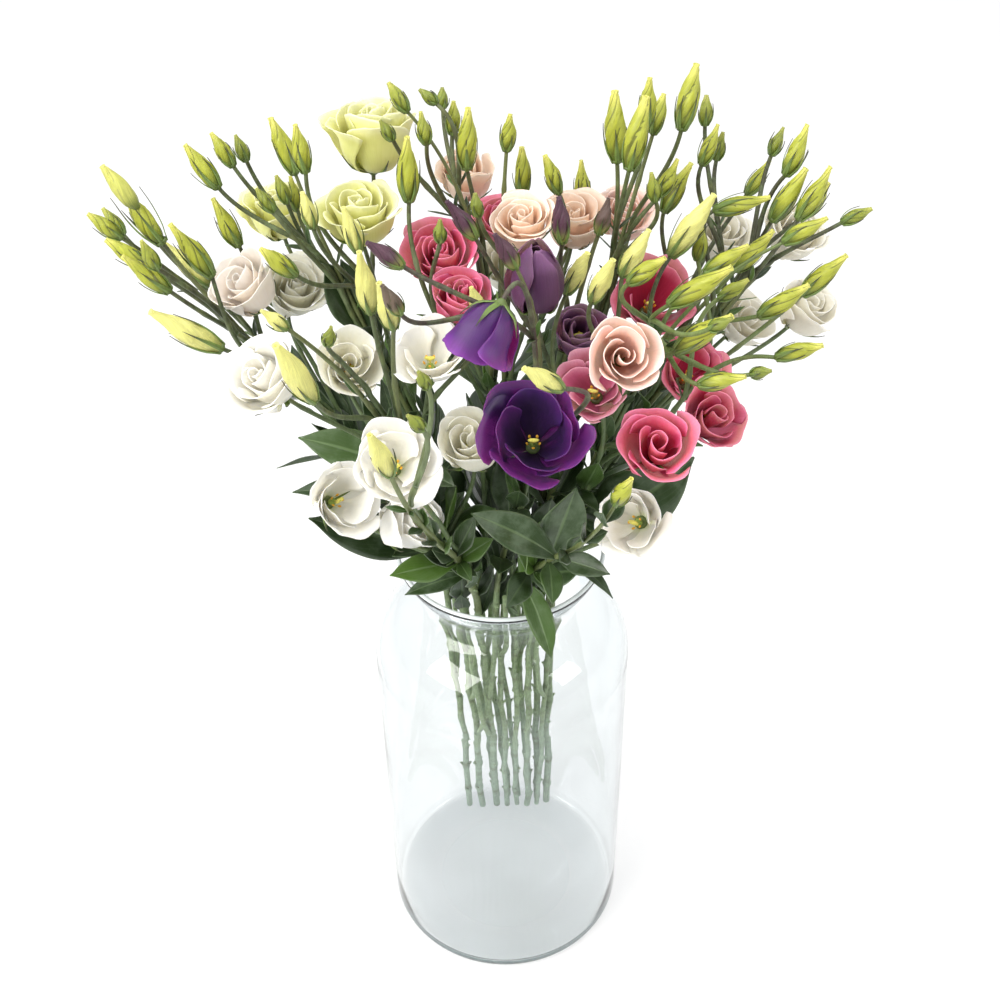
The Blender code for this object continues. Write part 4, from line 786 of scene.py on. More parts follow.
# Petal colours: throat, body, rim and vein
# The rim colours, paler than the bodies, are partly the petals' own paler edges and partly a painted
# highlight on the rolled rims.
# The throats of the pinks, roses and purples, darker than their bodies, are partly their own colour and
# partly painted shade deep in the cup.
PETALS = {
    "white": ((0.66, 0.70, 0.28), (0.90, 0.87, 0.77), (0.92, 0.90, 0.83), (0.82, 0.79, 0.64)),
    "cream": ((0.66, 0.68, 0.24), (0.89, 0.86, 0.68), (0.92, 0.90, 0.79), (0.78, 0.75, 0.48)),
    "blush": ((0.80, 0.26, 0.18), (0.89, 0.57, 0.46), (0.90, 0.67, 0.58), (0.84, 0.44, 0.34)),
    "peach": ((0.72, 0.30, 0.16), (0.88, 0.60, 0.42), (0.90, 0.70, 0.55), (0.82, 0.46, 0.28)),
    "yellow": ((0.48, 0.56, 0.07), (0.75, 0.74, 0.23), (0.84, 0.83, 0.44), (0.62, 0.63, 0.12)),
    "pink": ((0.34, 0.02, 0.04), (0.70, 0.040, 0.135), (0.82, 0.16, 0.31), (0.50, 0.020, 0.06)),
    "rose": ((0.22, 0.01, 0.02), (0.50, 0.020, 0.070), (0.74, 0.14, 0.25), (0.30, 0.010, 0.03)),
    "dusty": ((0.18, 0.03, 0.04), (0.54, 0.09, 0.18), (0.72, 0.26, 0.36), (0.36, 0.05, 0.10)),
    "purple": ((0.012, 0.002, 0.02), (0.050, 0.003, 0.105), (0.12, 0.012, 0.22), (0.020, 0.002, 0.04)),
    "purple_dark": ((0.014, 0.003, 0.016), (0.019, 0.002, 0.045), (0.042, 0.004, 0.095),
                    (0.007, 0.001, 0.014)),
    "purple_mauve": ((0.05, 0.02, 0.03), (0.08, 0.02, 0.075), (0.18, 0.06, 0.17), (0.042, 0.011, 0.035)),
    # A cream darkened to beige: painted shade for the white blooms at the back on the right
    "painted_shade_cream": ((0.60, 0.60, 0.26), (0.76, 0.71, 0.56), (0.86, 0.82, 0.71), (0.66, 0.60, 0.44)),
    "blush_pale": ((0.72, 0.52, 0.34), (0.90, 0.80, 0.69), (0.92, 0.84, 0.76), (0.86, 0.68, 0.54)),
}
# Blooms whose petals differ from the others of their colour: the four white ones at the back on the right
# take a cream darkened as painted shade, the others have their own colour.
OWN_SHADES = {"white_rose_far_right": "painted_shade_cream", "white_rose_back_right": "painted_shade_cream",
              "white_cup_back_right": "painted_shade_cream", "white_cup_right": "painted_shade_cream",
              "purple_open_front": "purple_dark", "purple_bell_upright": "purple_mauve",
              "purple_bell_back": "purple_mauve", "blush_rose_far_left": "blush_pale"}

# The colours of the leaves, buds and calyces, and of the middle and lower stalks
LEAF_COLOURS = {"Blade": (0.027, 0.054, 0.014), "Wax": (0.096, 0.142, 0.078), "Vein": (0.14, 0.21, 0.09),
                "Margin": (0.18, 0.25, 0.11), "Fresh": (0.070, 0.140, 0.018)}
# A bud's crease colour is painted shade in the folds where one petal tucks under the next.
BUD_COLOURS = {"Base": (0.092, 0.14, 0.018), "Body": (0.36, 0.385, 0.036), "Tip": (0.63, 0.61, 0.13),
               "Seam": (0.10, 0.11, 0.012), "Pale": (0.66, 0.64, 0.21)}
DARK_BUD_COLOURS = {"Base": (0.28, 0.31, 0.07), "Body": (0.085, 0.032, 0.055), "Tip": (0.07, 0.026, 0.05),
                    "Seam": (0.035, 0.012, 0.02), "Pale": (0.2, 0.1, 0.15)}
CALYX_COLOURS = {"Green": (0.15, 0.23, 0.05), "Dark": (0.045, 0.05, 0.02)}
STALK_COLOURS = {"Middle": (0.090, 0.135, 0.050), "Lower": (0.35, 0.46, 0.24)}

# Upper stalks of each spray: green, olive brown or mauve
STALK_TINTS = {
    "white_left": (0.071, 0.088, 0.034), "white_middle": (0.071, 0.088, 0.035),
    "white_low_left": (0.126, 0.160, 0.071), "purple_front": (0.063, 0.049, 0.034),
    "white_low_right": (0.126, 0.160, 0.063), "peach_right": (0.076, 0.092, 0.029),
    "rose_right": (0.122, 0.168, 0.042), "white_far_left": (0.050, 0.054, 0.022),
    "yellow_left": (0.059, 0.074, 0.025), "pink_middle": (0.066, 0.071, 0.025),
    "peach_middle": (0.076, 0.092, 0.029), "purple_back": (0.063, 0.050, 0.032),
    "white_right": (0.046, 0.047, 0.020),
}
# Which buds of a spray, counted in their order of growth, are purple, pale or double
PURPLE_BUDS = {"purple_front": (0, 1, 2), "purple_back": (0, 1, 2)}
PALE_BUDS = {"white_left": (0, 1), "white_middle": (0, 1, 2), "white_low_left": (0,),
             "purple_front": (3,), "peach_right": (7, 8, 9), "yellow_left": (7, 10), "white_right": (6,),
             "white_far_left": (6, 7)}
DOUBLE_BUDS = {"white_far_left": (0,)}

# Tiny buds, too small for a solid of their own: root (x, y, z) in cm, lean and length as above
TINY_BUDS = {
    "white_low_left": ((-4.0, -17.0, 64.5, -25, 1.6), (-3.7, -15.6, 66.2, -15, 1.5)),
    "white_left": ((-9.4, -10.6, 65.4, 15, 1.6),),
    "pink_middle": (
        (-3.5, 6.0, 71.1, -45, 1.4), (-3.2, 8.4, 69.5, 0, 1.4), (-6.1, 3.8, 69.9, -30, 1.6),
        (-3.2, -4.0, 67.7, 0, 1.6),
    ),
    "rose_right": ((14.1, -11.0, 63.2, 65, 1.4), (11.4, -12.0, 67.1, 50, 1.6)),
    "peach_middle": ((-1.0, -1.0, 67.5, -10, 1.6),),
}


def nothing_selected():
    """Object mode with nothing selected."""
    if bpy.context.object is not None and bpy.context.object.mode != "OBJECT":
        bpy.ops.object.mode_set(mode="OBJECT")
    bpy.ops.object.select_all(action="DESELECT")


def active(piece):
    """This piece alone selected and active."""
    nothing_selected()
    piece.select_set(True)
    bpy.context.view_layer.objects.active = piece


def apply_modifier(piece, kind, **settings):
    """A modifier with these settings, applied."""
    active(piece)
    made = piece.modifiers.new(kind.lower(), kind)
    for key, value in settings.items():
        setattr(made, key, value)
    bpy.ops.object.modifier_apply(modifier=made.name)


def taken(piece):
    """The points and faces of a modelled piece, which is then put away."""
    points = np.array([tuple(p.co) for p in piece.data.vertices])
    faces = [tuple(f.vertices) for f in piece.data.polygons]
    bpy.data.objects.remove(piece)
    return points, faces


def blank_sheet(columns, rows):
    """A flat sheet to shape: across from -1 to 1 and along from 0 to 1 at each point, and its faces."""
    nothing_selected()
    bpy.ops.mesh.primitive_grid_add(x_subdivisions=columns, y_subdivisions=rows, size=2.0)
    points, faces = taken(bpy.context.object)
    return points[:, 0], (points[:, 1] + 1) / 2, faces


def ring_up(rings, corners):
    """A closed round body drawn up ring by ring from a disc: rings of (radius, height)."""
    nothing_selected()
    bpy.ops.mesh.primitive_circle_add(vertices=corners, radius=rings[0][0], fill_type="NGON",
                                      location=(0.0, 0.0, rings[0][1]))
    body = bpy.context.object
    bpy.ops.object.transform_apply(location=True, rotation=True, scale=True)
    bpy.ops.object.mode_set(mode="EDIT")
    bpy.ops.mesh.select_all(action="SELECT")
    for (before, low), (radius, high) in zip(rings, rings[1:]):
        bpy.ops.mesh.extrude_region_move(TRANSFORM_OT_translate={"value": (0.0, 0.0, high - low)})
        pull = radius / before
        bpy.ops.transform.resize(value=(pull, pull, 1.0), center_override=(0.0, 0.0, high))
    bpy.ops.mesh.select_all(action="SELECT")
    bpy.ops.mesh.normals_make_consistent(inside=False)
    bpy.ops.object.mode_set(mode="OBJECT")
    return body


def select_points(piece, test):
    """In edit mode, the points of a piece that pass a test of their place, selected."""
    bpy.ops.object.mode_set(mode="OBJECT")
    places = np.array([tuple(p.co) for p in piece.data.vertices])
    for shape in (piece.data.edges, piece.data.polygons):
        shape.foreach_set("select", np.zeros(len(shape), bool))
    piece.data.vertices.foreach_set("select", test(places))
    bpy.ops.object.mode_set(mode="EDIT")


def set_mark(mesh, name, values):
    """A number for each point of a mesh, kept under a name for the materials."""
    layer = mesh.attributes.new(name, "FLOAT", "POINT")
    layer.data.foreach_set("value", np.ascontiguousarray(values))


class Heap:
    """Shaped copies gathered into the one mesh of a piece, with their marks for the materials."""

    def __init__(self):
        self.points, self.faces, self.marks, self.count = [], [], [], 0

    def add(self, points, faces, across=0.0, along=0.0, tone=0.0):
        self.faces += [tuple(k + self.count for k in face) for face in faces]
        self.points.append(points)
        marks = np.zeros((len(points), 3))
        for column, mark in enumerate((across, along, tone)):
            marks[:, column] = mark
        self.marks.append(marks)
        self.count += len(points)

    def piece(self, name, finish, slot, node, thick=0.0):
        """The gathered copies as one smooth piece, with walls of this thickness where they are sheets."""
        mesh = bpy.data.meshes.new(name)
        mesh.from_pydata(np.vstack(self.points).tolist(), [], self.faces)
        marks = np.vstack(self.marks)
        for column, mark in enumerate(("across", "along", "tone")):
            set_mark(mesh, mark, marks[:, column])
        made = bpy.data.objects.new(name, mesh)
        bpy.context.scene.collection.objects.link(made)
        active(made)
        if thick:
            apply_modifier(made, "SOLIDIFY", thickness=thick, offset=0.0)
        bpy.ops.object.shade_smooth()
        show(made, finish, node)


def frames(line):
    """Cross directions carried along a line without twist."""
    run = tangents(line)
    side = unit(np.cross(run[0], (0.0, 1.0, 0.0) if abs(run[0][1]) < 0.9 else (1.0, 0.0, 0.0)))
    sides = []
    for direction in run:
        side = unit(side - direction * (side @ direction))
        sides.append(side)
    sides = np.array(sides)
    return sides, np.cross(run, sides)


def across_of(way):
    """Two directions across a bud's or bloom's way."""
    side = unit(np.cross(way, (0.2, 1.0, 0.1)))
    return side, np.cross(way, side)


def soft_step(low, high, value):
    """From 0 below low to 1 above high, smoothly."""
    share = np.clip((np.asarray(value) - low) / (high - low), 0.0, 1.0)
    return share * share * (3.0 - 2.0 * share)


def show(piece, finish, node):
    """A finished piece: its material, the body it rides on and the node it stands for."""
    piece.data.materials.clear()
    piece.data.materials.append(finish)
    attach(piece, "root")
    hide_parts(node)


# Shared finishes


class Wiring:
    """Short ways to add and join nodes in one tree."""

    def __init__(self, tree):
        self.tree = tree

    def node(self, kind):
        return self.tree.nodes.new("ShaderNode" + kind)

    def join(self, source, target):
        self.tree.links.new(source, target)

    def put(self, value, socket):
        """A number or colour set on a socket, or another node's output joined to it."""
        if isinstance(value, tuple):
            socket.default_value = (*value, 1.0)
        elif isinstance(value, float):
            socket.default_value = value
        else:
            self.join(value, socket)

    def mark(self, name):
        node = self.node("Attribute")
        node.attribute_name = name
        return node.outputs["Fac"]

    def inputs(self, node, **values):
        """Numbers and colours set on a node's sockets, an underline in a name for each space."""
        for label, value in values.items():
            self.put(value, node.inputs[label.replace("_", " ")])

    def place(self):
        return self.node("TexCoord").outputs["Object"]

    def maths(self, kind, a, b=0.0):
        node = self.node("Math")
        node.operation = kind
        self.put(a, node.inputs[0])
        self.put(b, node.inputs[1])
        return node.outputs[0]

    def times(self, a, b):
        return self.maths("MULTIPLY", a, b)

    def plus(self, a, b):
        return self.maths("ADD", a, b)

    def minus(self, a, b):
        return self.maths("SUBTRACT", a, b)

    def wander(self, value, noise, share):
        """The value moved up and down by a noise, by half this share each way."""
        return self.plus(value, self.times(self.minus(noise, 0.5), share))

    def vector(self, x, y, z):
        node = self.node("CombineXYZ")
        for value, socket in zip((x, y, z), node.inputs):
            self.put(value, socket)
        return node.outputs[0]

    def height_of(self, where):
        node = self.node("SeparateXYZ")
        self.join(where, node.inputs[0])
        return node.outputs["Z"]

    def noise(self, where, scale, detail=2.0, rough=0.5):
        node = self.node("TexNoise")
        self.inputs(node, Vector=where, Scale=scale, Detail=detail, Roughness=rough)
        return node.outputs["Fac"]

    def remap(self, value, low, high, to_low=0.0, to_high=1.0):
        """A value carried smoothly from one range to another."""
        node = self.node("MapRange")
        node.interpolation_type = "SMOOTHSTEP"
        self.inputs(node, Value=value, From_Min=low, From_Max=high, To_Min=to_low, To_Max=to_high)
        return node.outputs["Result"]

    def mix(self, share, a, b, kind="MIX"):
        """Two colours mixed. A mix node keeps its colours in sockets 6 and 7 and their mix in 2."""
        node = self.node("Mix")
        node.data_type = "RGBA"
        node.blend_type = kind
        for value, socket in ((share, 0), (a, 6), (b, 7)):
            self.put(value, node.inputs[socket])
        return node.outputs[2]

    def over(self, colour, tint, mask, share):
        """A tint laid over a colour where the mask is."""
        return self.mix(self.times(mask, share), colour, tint)

    def shaded(self, colour, shade):
        """A colour made darker or lighter by a number."""
        return self.mix(1.0, colour, self.vector(shade, shade, shade), "MULTIPLY")

    def relief(self, shader, height, strength, depth):
        """Fine bumps on a shader's surface."""
        node = self.node("Bump")
        self.inputs(node, Strength=strength, Distance=depth, Height=height)
        self.inputs(shader, Normal=node.outputs["Normal"])


def new_skin(name, colours):
    """A node group for a skin: its wiring, and its colours as they are given to it."""
    tree = bpy.data.node_groups.new(name, "ShaderNodeTree")
    for label in colours:
        tree.interface.new_socket(name=label, in_out="INPUT", socket_type="NodeSocketColor")
    for label, kind in (("Color", "Color"), ("Roughness", "Float"), ("Height", "Float")):
        tree.interface.new_socket(name=label, in_out="OUTPUT", socket_type="NodeSocket" + kind)
    given = tree.nodes.new("NodeGroupInput")
    return Wiring(tree), [given.outputs[label] for label in colours]


def finish_skin(w, colour, shade, roughness, height):
    """What a skin gives out: its colour with its light and dark, its roughness and its relief."""
    out = w.tree.nodes.new("NodeGroupOutput")
    for value, socket in zip((w.shaded(colour, shade), roughness, height), out.inputs):
        w.join(value, socket)
    return w.tree


def new_finish(name):
    """A new material, its shader and the wiring of its tree."""
    made = bpy.data.materials.new(name)
    made.use_nodes = True
    return made, made.node_tree.nodes["Principled BSDF"], Wiring(made.node_tree)


def petal_group():
    """Petal skin: a throat, body and rim colour, veins that run to the rim, and soft mottling."""
    w, (throat, body, rim, vein) = new_skin("Petal skin", ("Throat", "Body", "Rim", "Vein"))
    along, across, tone = w.mark("along"), w.mark("across"), w.mark("tone")
    cloud = w.noise(w.place(), 55.0, 3.0)
    streak_place = w.vector(w.times(across, 9.0), w.times(along, 1.6), w.times(tone, 17.0))
    streak = w.noise(streak_place, 2.2, 4.0, 0.6)
    veins = w.times(w.remap(streak, 0.44, 0.62), w.remap(along, 0.15, 0.95, 1.0, 0.25))
    inner = w.remap(w.wander(along, streak, 0.25), 0.02, 0.35, 1.0, 0.0)
    # Towards the rim the body turns to the rim colour: partly the petal's own paler edge, partly a painted
    # highlight on the rolled rims.
    colour = w.mix(w.remap(w.wander(along, cloud, 0.3), 0.72, 1.02), body, rim)
    # The throat colour at the petal's base: for the pinks, roses and purples a darker tone, partly their own
    # and partly painted shade deep in the cup.
    colour = w.mix(inner, w.over(colour, vein, veins, 0.35), throat)
    shade = w.plus(w.remap(cloud, 0.3, 0.7, 0.94, 1.05), w.times(tone, 0.05))
    height = w.plus(w.times(streak, 0.7), w.times(w.noise(streak_place, 9.0, 3.0, 0.6), 0.3))
    return finish_skin(w, colour, shade, w.remap(cloud, 0.3, 0.7, 0.42, 0.56), height)


def leaf_group():
    """Leaf skin: a pale midrib, side veins that sweep to the tip, a pale margin and waxy patches."""
    w, (blade, wax, vein, margin, fresh) = new_skin("Leaf skin", ("Blade", "Wax", "Vein", "Margin", "Fresh"))
    along, across, tone, where = w.mark("along"), w.mark("across"), w.mark("tone"), w.place()
    side = w.maths("ABSOLUTE", across)
    sweep = w.minus(w.times(side, 5.0), w.times(along, 6.0))
    wave = w.maths("ABSOLUTE", w.maths("SINE", w.times(sweep, 3.4)))
    fork = w.times(w.remap(wave, 0.0, 0.16, 0.5, 0.0), 0.55)
    veins = w.maths("MAXIMUM", w.remap(side, 0.03, 0.11, 1.0, 0.0), fork)
    patches = w.noise(where, 70.0, 4.0, 0.65)
    waxy = w.times(w.remap(patches, 0.40, 0.66), w.remap(w.noise(where, 22.0), 0.3, 0.7, 0.25, 0.85))
    colour = w.mix(waxy, blade, wax)
    colour = w.over(colour, fresh, w.remap(tone, 0.25, 1.0), 0.75)
    colour = w.over(colour, vein, veins, 0.50)
    colour = w.over(colour, margin, w.remap(side, 0.90, 0.985), 0.25)
    height = w.minus(w.times(patches, 0.25), w.times(veins, 0.8))
    shade = w.plus(1.0, w.times(tone, 0.30))
    return finish_skin(w, colour, shade, w.remap(waxy, 0.0, 1.0, 0.30, 0.58), height)


def stalk_group():
    """Stalk skin: pale and greyish low down, green above, its own tint at the top, fine ridges."""
    w, (upper, middle, lower) = new_skin("Stalk skin", ("Upper", "Middle", "Lower"))
    along, tone, where = w.mark("along"), w.mark("tone"), w.place()
    stretch = w.node("Mapping")
    w.join(where, stretch.inputs["Vector"])
    stretch.inputs["Scale"].default_value = (1.0, 1.0, 0.12)
    fibre = w.noise(stretch.outputs[0], 900.0)
    cloud = w.noise(where, 60.0, 3.0)
    level = w.wander(w.height_of(where), cloud, 0.08)
    colour = w.mix(w.remap(level, 0.33, 0.47), lower, middle)
    colour = w.mix(w.remap(level, 0.52, 0.64), colour, upper)
    colour = w.over(colour, (0.36, 0.44, 0.24), w.remap(cloud, 0.5, 0.75), 0.25)
    colour = w.over(colour, (0.13, 0.19, 0.075), w.remap(w.noise(where, 170.0, 3.0, 0.6), 0.46, 0.66), 0.40)
    colour = w.over(colour, (0.46, 0.62, 0.50), w.remap(level, 0.10, 0.20, 1.0, 0.0), 0.6)
    colour = w.over(colour, (0.15, 0.17, 0.055), along, 0.60)
    shade = w.plus(w.remap(fibre, 0.25, 0.75, 0.78, 1.14), w.times(tone, 0.1))
    return finish_skin(w, colour, shade, w.remap(cloud, 0.3, 0.7, 0.42, 0.62), fibre)


def bud_group():
    """Bud skin: green at the base, its body colour above and a pale tip, streaked along the twist, with
    painted shade along the creases where one petal tucks under the next.
    """
    w, (base, body, tip, crease_shade, pale) = new_skin("Bud skin", ("Base", "Body", "Tip", "Seam", "Pale"))
    along, across, tone = w.mark("along"), w.mark("across"), w.mark("tone")
    cloud = w.noise(w.place(), 120.0, 3.0)
    streak = w.noise(w.vector(w.times(across, 6.0), w.times(along, 1.2), tone), 3.0, 3.0, 0.6)
    level = w.wander(along, streak, 0.3)
    colour = w.mix(w.remap(level, 0.05, 0.45), base, body)
    colour = w.mix(w.remap(level, 0.70, 1.0), colour, tip)
    # Painted shade: each petal's last columns, where it tucks under the next, are darkened towards the crease
    # colour.
    colour = w.over(colour, crease_shade, w.remap(across, 0.76, 1.0), 0.85)
    fade = w.times(w.remap(tone, -1.0, -0.2, 1.0, 0.0), w.remap(level, 0.05, 0.35, 0.25, 0.9))
    colour = w.over(w.mix(fade, colour, pale), base, w.remap(tone, 0.0, 1.0), 0.65)
    shade = w.times(w.remap(streak, 0.3, 0.7, 0.80, 1.13), w.remap(cloud, 0.3, 0.7, 0.94, 1.06))
    height = w.plus(w.times(streak, 0.8), w.times(cloud, 0.2))
    return finish_skin(w, colour, shade, w.remap(cloud, 0.3, 0.7, 0.34, 0.48), height)


def calyx_group():
    """Calyx skin: green at the seat and dark towards the needle tips."""
    w, (green, dark) = new_skin("Calyx skin", ("Green", "Dark"))
    cloud = w.noise(w.place(), 260.0, 3.0)
    keel = w.remap(w.maths("ABSOLUTE", w.mark("across")), 0.1, 0.6, 1.0, 0.0)
    colour = w.mix(w.remap(w.wander(w.mark("along"), cloud, 0.4), 0.35, 0.85), green, dark)
    colour = w.over(colour, dark, keel, 0.35)
    return finish_skin(w, colour, w.remap(cloud, 0.3, 0.7, 0.85, 1.15), w.remap(cloud, 0.3, 0.7, 0.4, 0.6),
                       w.plus(keel, w.times(cloud, 0.5)))


def skin(name, group, bump, soft=0.0, sheen=0.0, **colours):
    """A material that takes its colour, roughness and relief from a skin group."""
    made, shader, w = new_finish(name)
    node = w.node("Group")
    node.node_tree = group
    w.inputs(node, **colours)
    w.inputs(shader, Base_Color=node.outputs["Color"], Roughness=node.outputs["Roughness"])
    w.relief(shader, node.outputs["Height"], bump, 0.0006)
    if soft:
        w.inputs(shader, Subsurface_Weight=soft, Subsurface_Scale=0.008)
        shader.inputs["Subsurface Radius"].default_value = (1.0, 0.8, 0.5)
    if sheen:
        w.inputs(shader, Sheen_Weight=sheen, Sheen_Roughness=0.4)
    return made


def glass_finish():
    """Clear glass, faintly blue green through its thickness, dimmed a little in soft patches that are partly
    smears and partly painted shade, with a worn underside.
    """
    made, shader, w = new_finish("clear_glass")
    tint = w.node("VolumeAbsorption")
    w.inputs(tint, Color=(0.60, 0.88, 0.92), Density=15.0)
    w.inputs(w.tree.nodes["Material Output"], Volume=tint.outputs[0])
    where = w.place()
    worn = w.remap(w.height_of(where), 0.0015, 0.007, 0.30, 0.0)
    smear = w.remap(w.noise(where, 30.0, 3.0), 0.45, 0.75, 0.0, 0.02)
    # A soft noise dims the glass's colour by four to ten per cent: partly smears, partly painted shade that
    # stands in for the darker light seen through the glass.
    painted_light_mottle = w.remap(w.noise(where, 7.0, 3.0, 0.55), 0.35, 0.7)
    w.inputs(shader, Metallic=0.0, Transmission_Weight=1.0, IOR=1.45,
             Base_Color=w.mix(painted_light_mottle, (0.962, 0.968, 0.974), (0.905, 0.912, 0.914)),
             Roughness=w.maths("MAXIMUM", worn, smear))
    w.relief(shader, w.noise(where, 14.0, 1.0), 0.05, 0.002)
    return made


# The vase


def vase_outer():
    """The outside half section of the glass, from the middle of its underside up to the lip."""
    outer = [(0.020, 0.0030), (0.050, 0.0028), (0.062, 0.0022), (0.070, 0.0011), (0.076, 0.0002),
             (0.081, 0.0), (BASE_RADIUS, 0.0004)]
    corner = BODY_RADIUS - BASE_RADIUS
    for step in range(1, 9):
        turn = math.radians(11.25 * step)
        outer.append((BASE_RADIUS + corner * math.sin(turn), 0.0004 + BASE_ROUND * (1 - math.cos(turn))))
    wall_start = len(outer)
    outer += [(BODY_RADIUS, height) for height in (0.04, 0.12, 0.20, 0.27, SHOULDER_START)]
    outer += [shoulder(18, step) for step in range(1, 19)]
    low_radius, low_height = outer[-1]
    for step in range(1, 25):
        share = step / 25
        swell = float(through((0.0, 0.02, 0.20, 0.52, 0.82, 1.0), share))
        outer.append((low_radius + (LIP_RADIUS - low_radius) * swell,
                      low_height + (LIP_HEIGHT - low_height) * share))
    return soft_neck(np.array(outer)), wall_start


def soft_neck(outline):
    """The half section with the corner between shoulder and flare rounded."""
    for _ in range(14):
        moved = outline.copy()
        moved[1:-1] = 0.5 * outline[1:-1] + 0.25 * (outline[:-2] + outline[2:])
        share = soft_step(0.335, 0.352, outline[:, 1]) * soft_step(0.396, 0.388, outline[:, 1])
        outline = outline + (moved - outline) * share[:, None]
    return outline


def make_vase():
    """The vase, drawn ring by ring from its underside, over the lip and down to its inner floor."""
    outer, wall_start = vase_outer()
    run = np.gradient(outer, axis=0)
    inward = np.stack([-run[:, 1], run[:, 0]], axis=1)
    inward /= np.linalg.norm(inward, axis=1)[:, None]
    inner = (outer + inward * WALL)[wall_start:]
    rings = outer.tolist()
    for step in range(11):
        turn = math.radians(18.0 * step)
        rings.append((LIP_RADIUS - WALL / 2 + WALL / 2 * math.cos(turn),
                      LIP_HEIGHT + 0.0010 * math.sin(turn)))
    rings += [ring for ring in inner[::-1].tolist() if ring[1] < LIP_HEIGHT - 0.0012]
    corner = 0.005
    for step in range(7):
        turn = math.radians(15.0 * step)
        rings.append((BODY_RADIUS - WALL - corner * (1 - math.cos(turn)),
                      FLOOR + corner - corner * math.sin(turn)))
    rings += [(0.060, FLOOR + 0.0003), (0.035, FLOOR + 0.0010), (0.015, FLOOR + 0.0014)]
    vase = ring_up(rings, 128)
    vase.name = "vase_glass"
    bpy.ops.object.shade_smooth()
    show(vase, glass_finish(), "vase")


def lip_painted_highlight():
    """The melted lip as a pale, nearly opaque line: a painted highlight in place of the light that the
    glass's rim gathers.
    """
    made, shader, w = new_finish("glass_lip_painted_highlight")
    # The lip's pale colour is a painted highlight. A noise mottles its colour, roughness and cover.
    painted_light_mottle = w.noise(w.place(), 40.0, 3.0)
    w.inputs(shader, Base_Color=w.mix(painted_light_mottle, (0.66, 0.74, 0.73), (0.88, 0.92, 0.92)),
             Roughness=w.remap(painted_light_mottle, 0.3, 0.7, 0.06, 0.16), Alpha=w.remap(painted_light_mottle, 0.3, 0.7, 0.78, 0.92))
    return made


def make_lip():
    """The round bead of the lip, in its painted highlight."""
    nothing_selected()
    bpy.ops.mesh.primitive_torus_add(major_radius=LIP_RADIUS - WALL / 2, minor_radius=WALL / 2,
                                     major_segments=128, minor_segments=14,
                                     location=(0.0, 0.0, LIP_HEIGHT + 0.0012))
    lip = bpy.context.object
    lip.name = "vase_lip"
    bpy.ops.object.transform_apply(location=True, rotation=True, scale=True)
    bpy.ops.object.shade_smooth()
    show(lip, lip_painted_highlight(), "vase")


# Stalks


def stalk_line(line, radii, number, lead):
    """A stalk's middle line and radii with its small kinks and swollen joints, every few centimetres."""
    rng = draws("stalk", number)
    steps = walked(line)
    count = max(6, int(steps[-1] / (0.006 if lead else 0.004)))
    at = np.linspace(0.0, steps[-1], count)
    fine = np.stack([np.interp(at, steps, line[:, k]) for k in range(3)], axis=1)
    bulk = np.interp(at, steps, radii) * (rng.uniform(0.70, 1.0) if lead else 1.18)
    along = np.zeros(count)
    side, other = frames(fine)
    place, knots = rng.uniform(*FIRST_JOINT), []
    while place < steps[-1] - FIRST_JOINT[0]:
        knots.append(place)
        place += rng.uniform(*JOINT_STEP)
    for knot in knots:
        swell = np.exp(-((at - knot) / JOINT_LENGTH) ** 2)
        bulk = bulk * (1.0 + (0.38 if lead else 0.22) * swell)
        along = np.maximum(along, swell)
    grid = np.r_[0.0, knots, steps[-1]]
    kink = rng.normal(0.0, 0.0011 if lead else 0.0003, (len(grid), 2))
    kink = np.clip(kink, -JOINT_BEND, JOINT_BEND)
    if lead:
        kink *= (1.0 - 0.75 * soft_step(0.35, 0.42, np.interp(grid, at, fine[:, 2])))[:, None]
    kink[0] = kink[-1] = 0.0
    for aside, shift in ((side, kink[:, 0]), (other, kink[:, 1])):
        fine = fine + aside * np.interp(at, grid, shift)[:, None]
    return fine, bulk, along, [(knot, rng.uniform(0.0, 2 * math.pi)) for knot in knots]


def run_down(spray, tube, number):
    """A branch that leaves the main stem, drawn out so that it first runs up along the stem."""
    rng = draws("way up", number)
    line, radii = tube["line"], tube["radii"]
    lead = spray.tubes[0]["line"]
    apart = np.linalg.norm(lead - line[0], axis=1)
    k = int(apart.argmin())
    if tube["lead"] or apart[k] > 0.002 or lead[k, 2] < RUN_LEVEL:
        return line, radii
    back = lead[:k + 1][::-1]
    gone = walked(back)
    length = min(rng.uniform(*RUN_LENGTH), gone[-1])
    count = max(4, int(length / 0.006))
    at = np.linspace(length, 0.008, count)
    along = np.stack([np.interp(at, gone, back[:, axis]) for axis in range(3)], axis=1)
    run = tangents(lead)[k]
    leave = line[min(4, len(line) - 1)] - line[0]
    aside = unit(leave - run * (leave @ run))
    aside = unit(aside + np.cross(run, aside) * rng.uniform(-0.9, 0.9))
    off = spray.tubes[0]["radii"][k] + radii[0] + 0.0004
    shift = off * soft_step(0.0, 0.35, np.linspace(0.0, 1.0, count))
    along = along + aside * shift[:, None]
    rest = line + aside * (off * soft_step(0.022, 0.0, walked(line)))[:, None]
    return np.vstack([along, rest]), np.r_[np.full(count, radii[0]), radii]


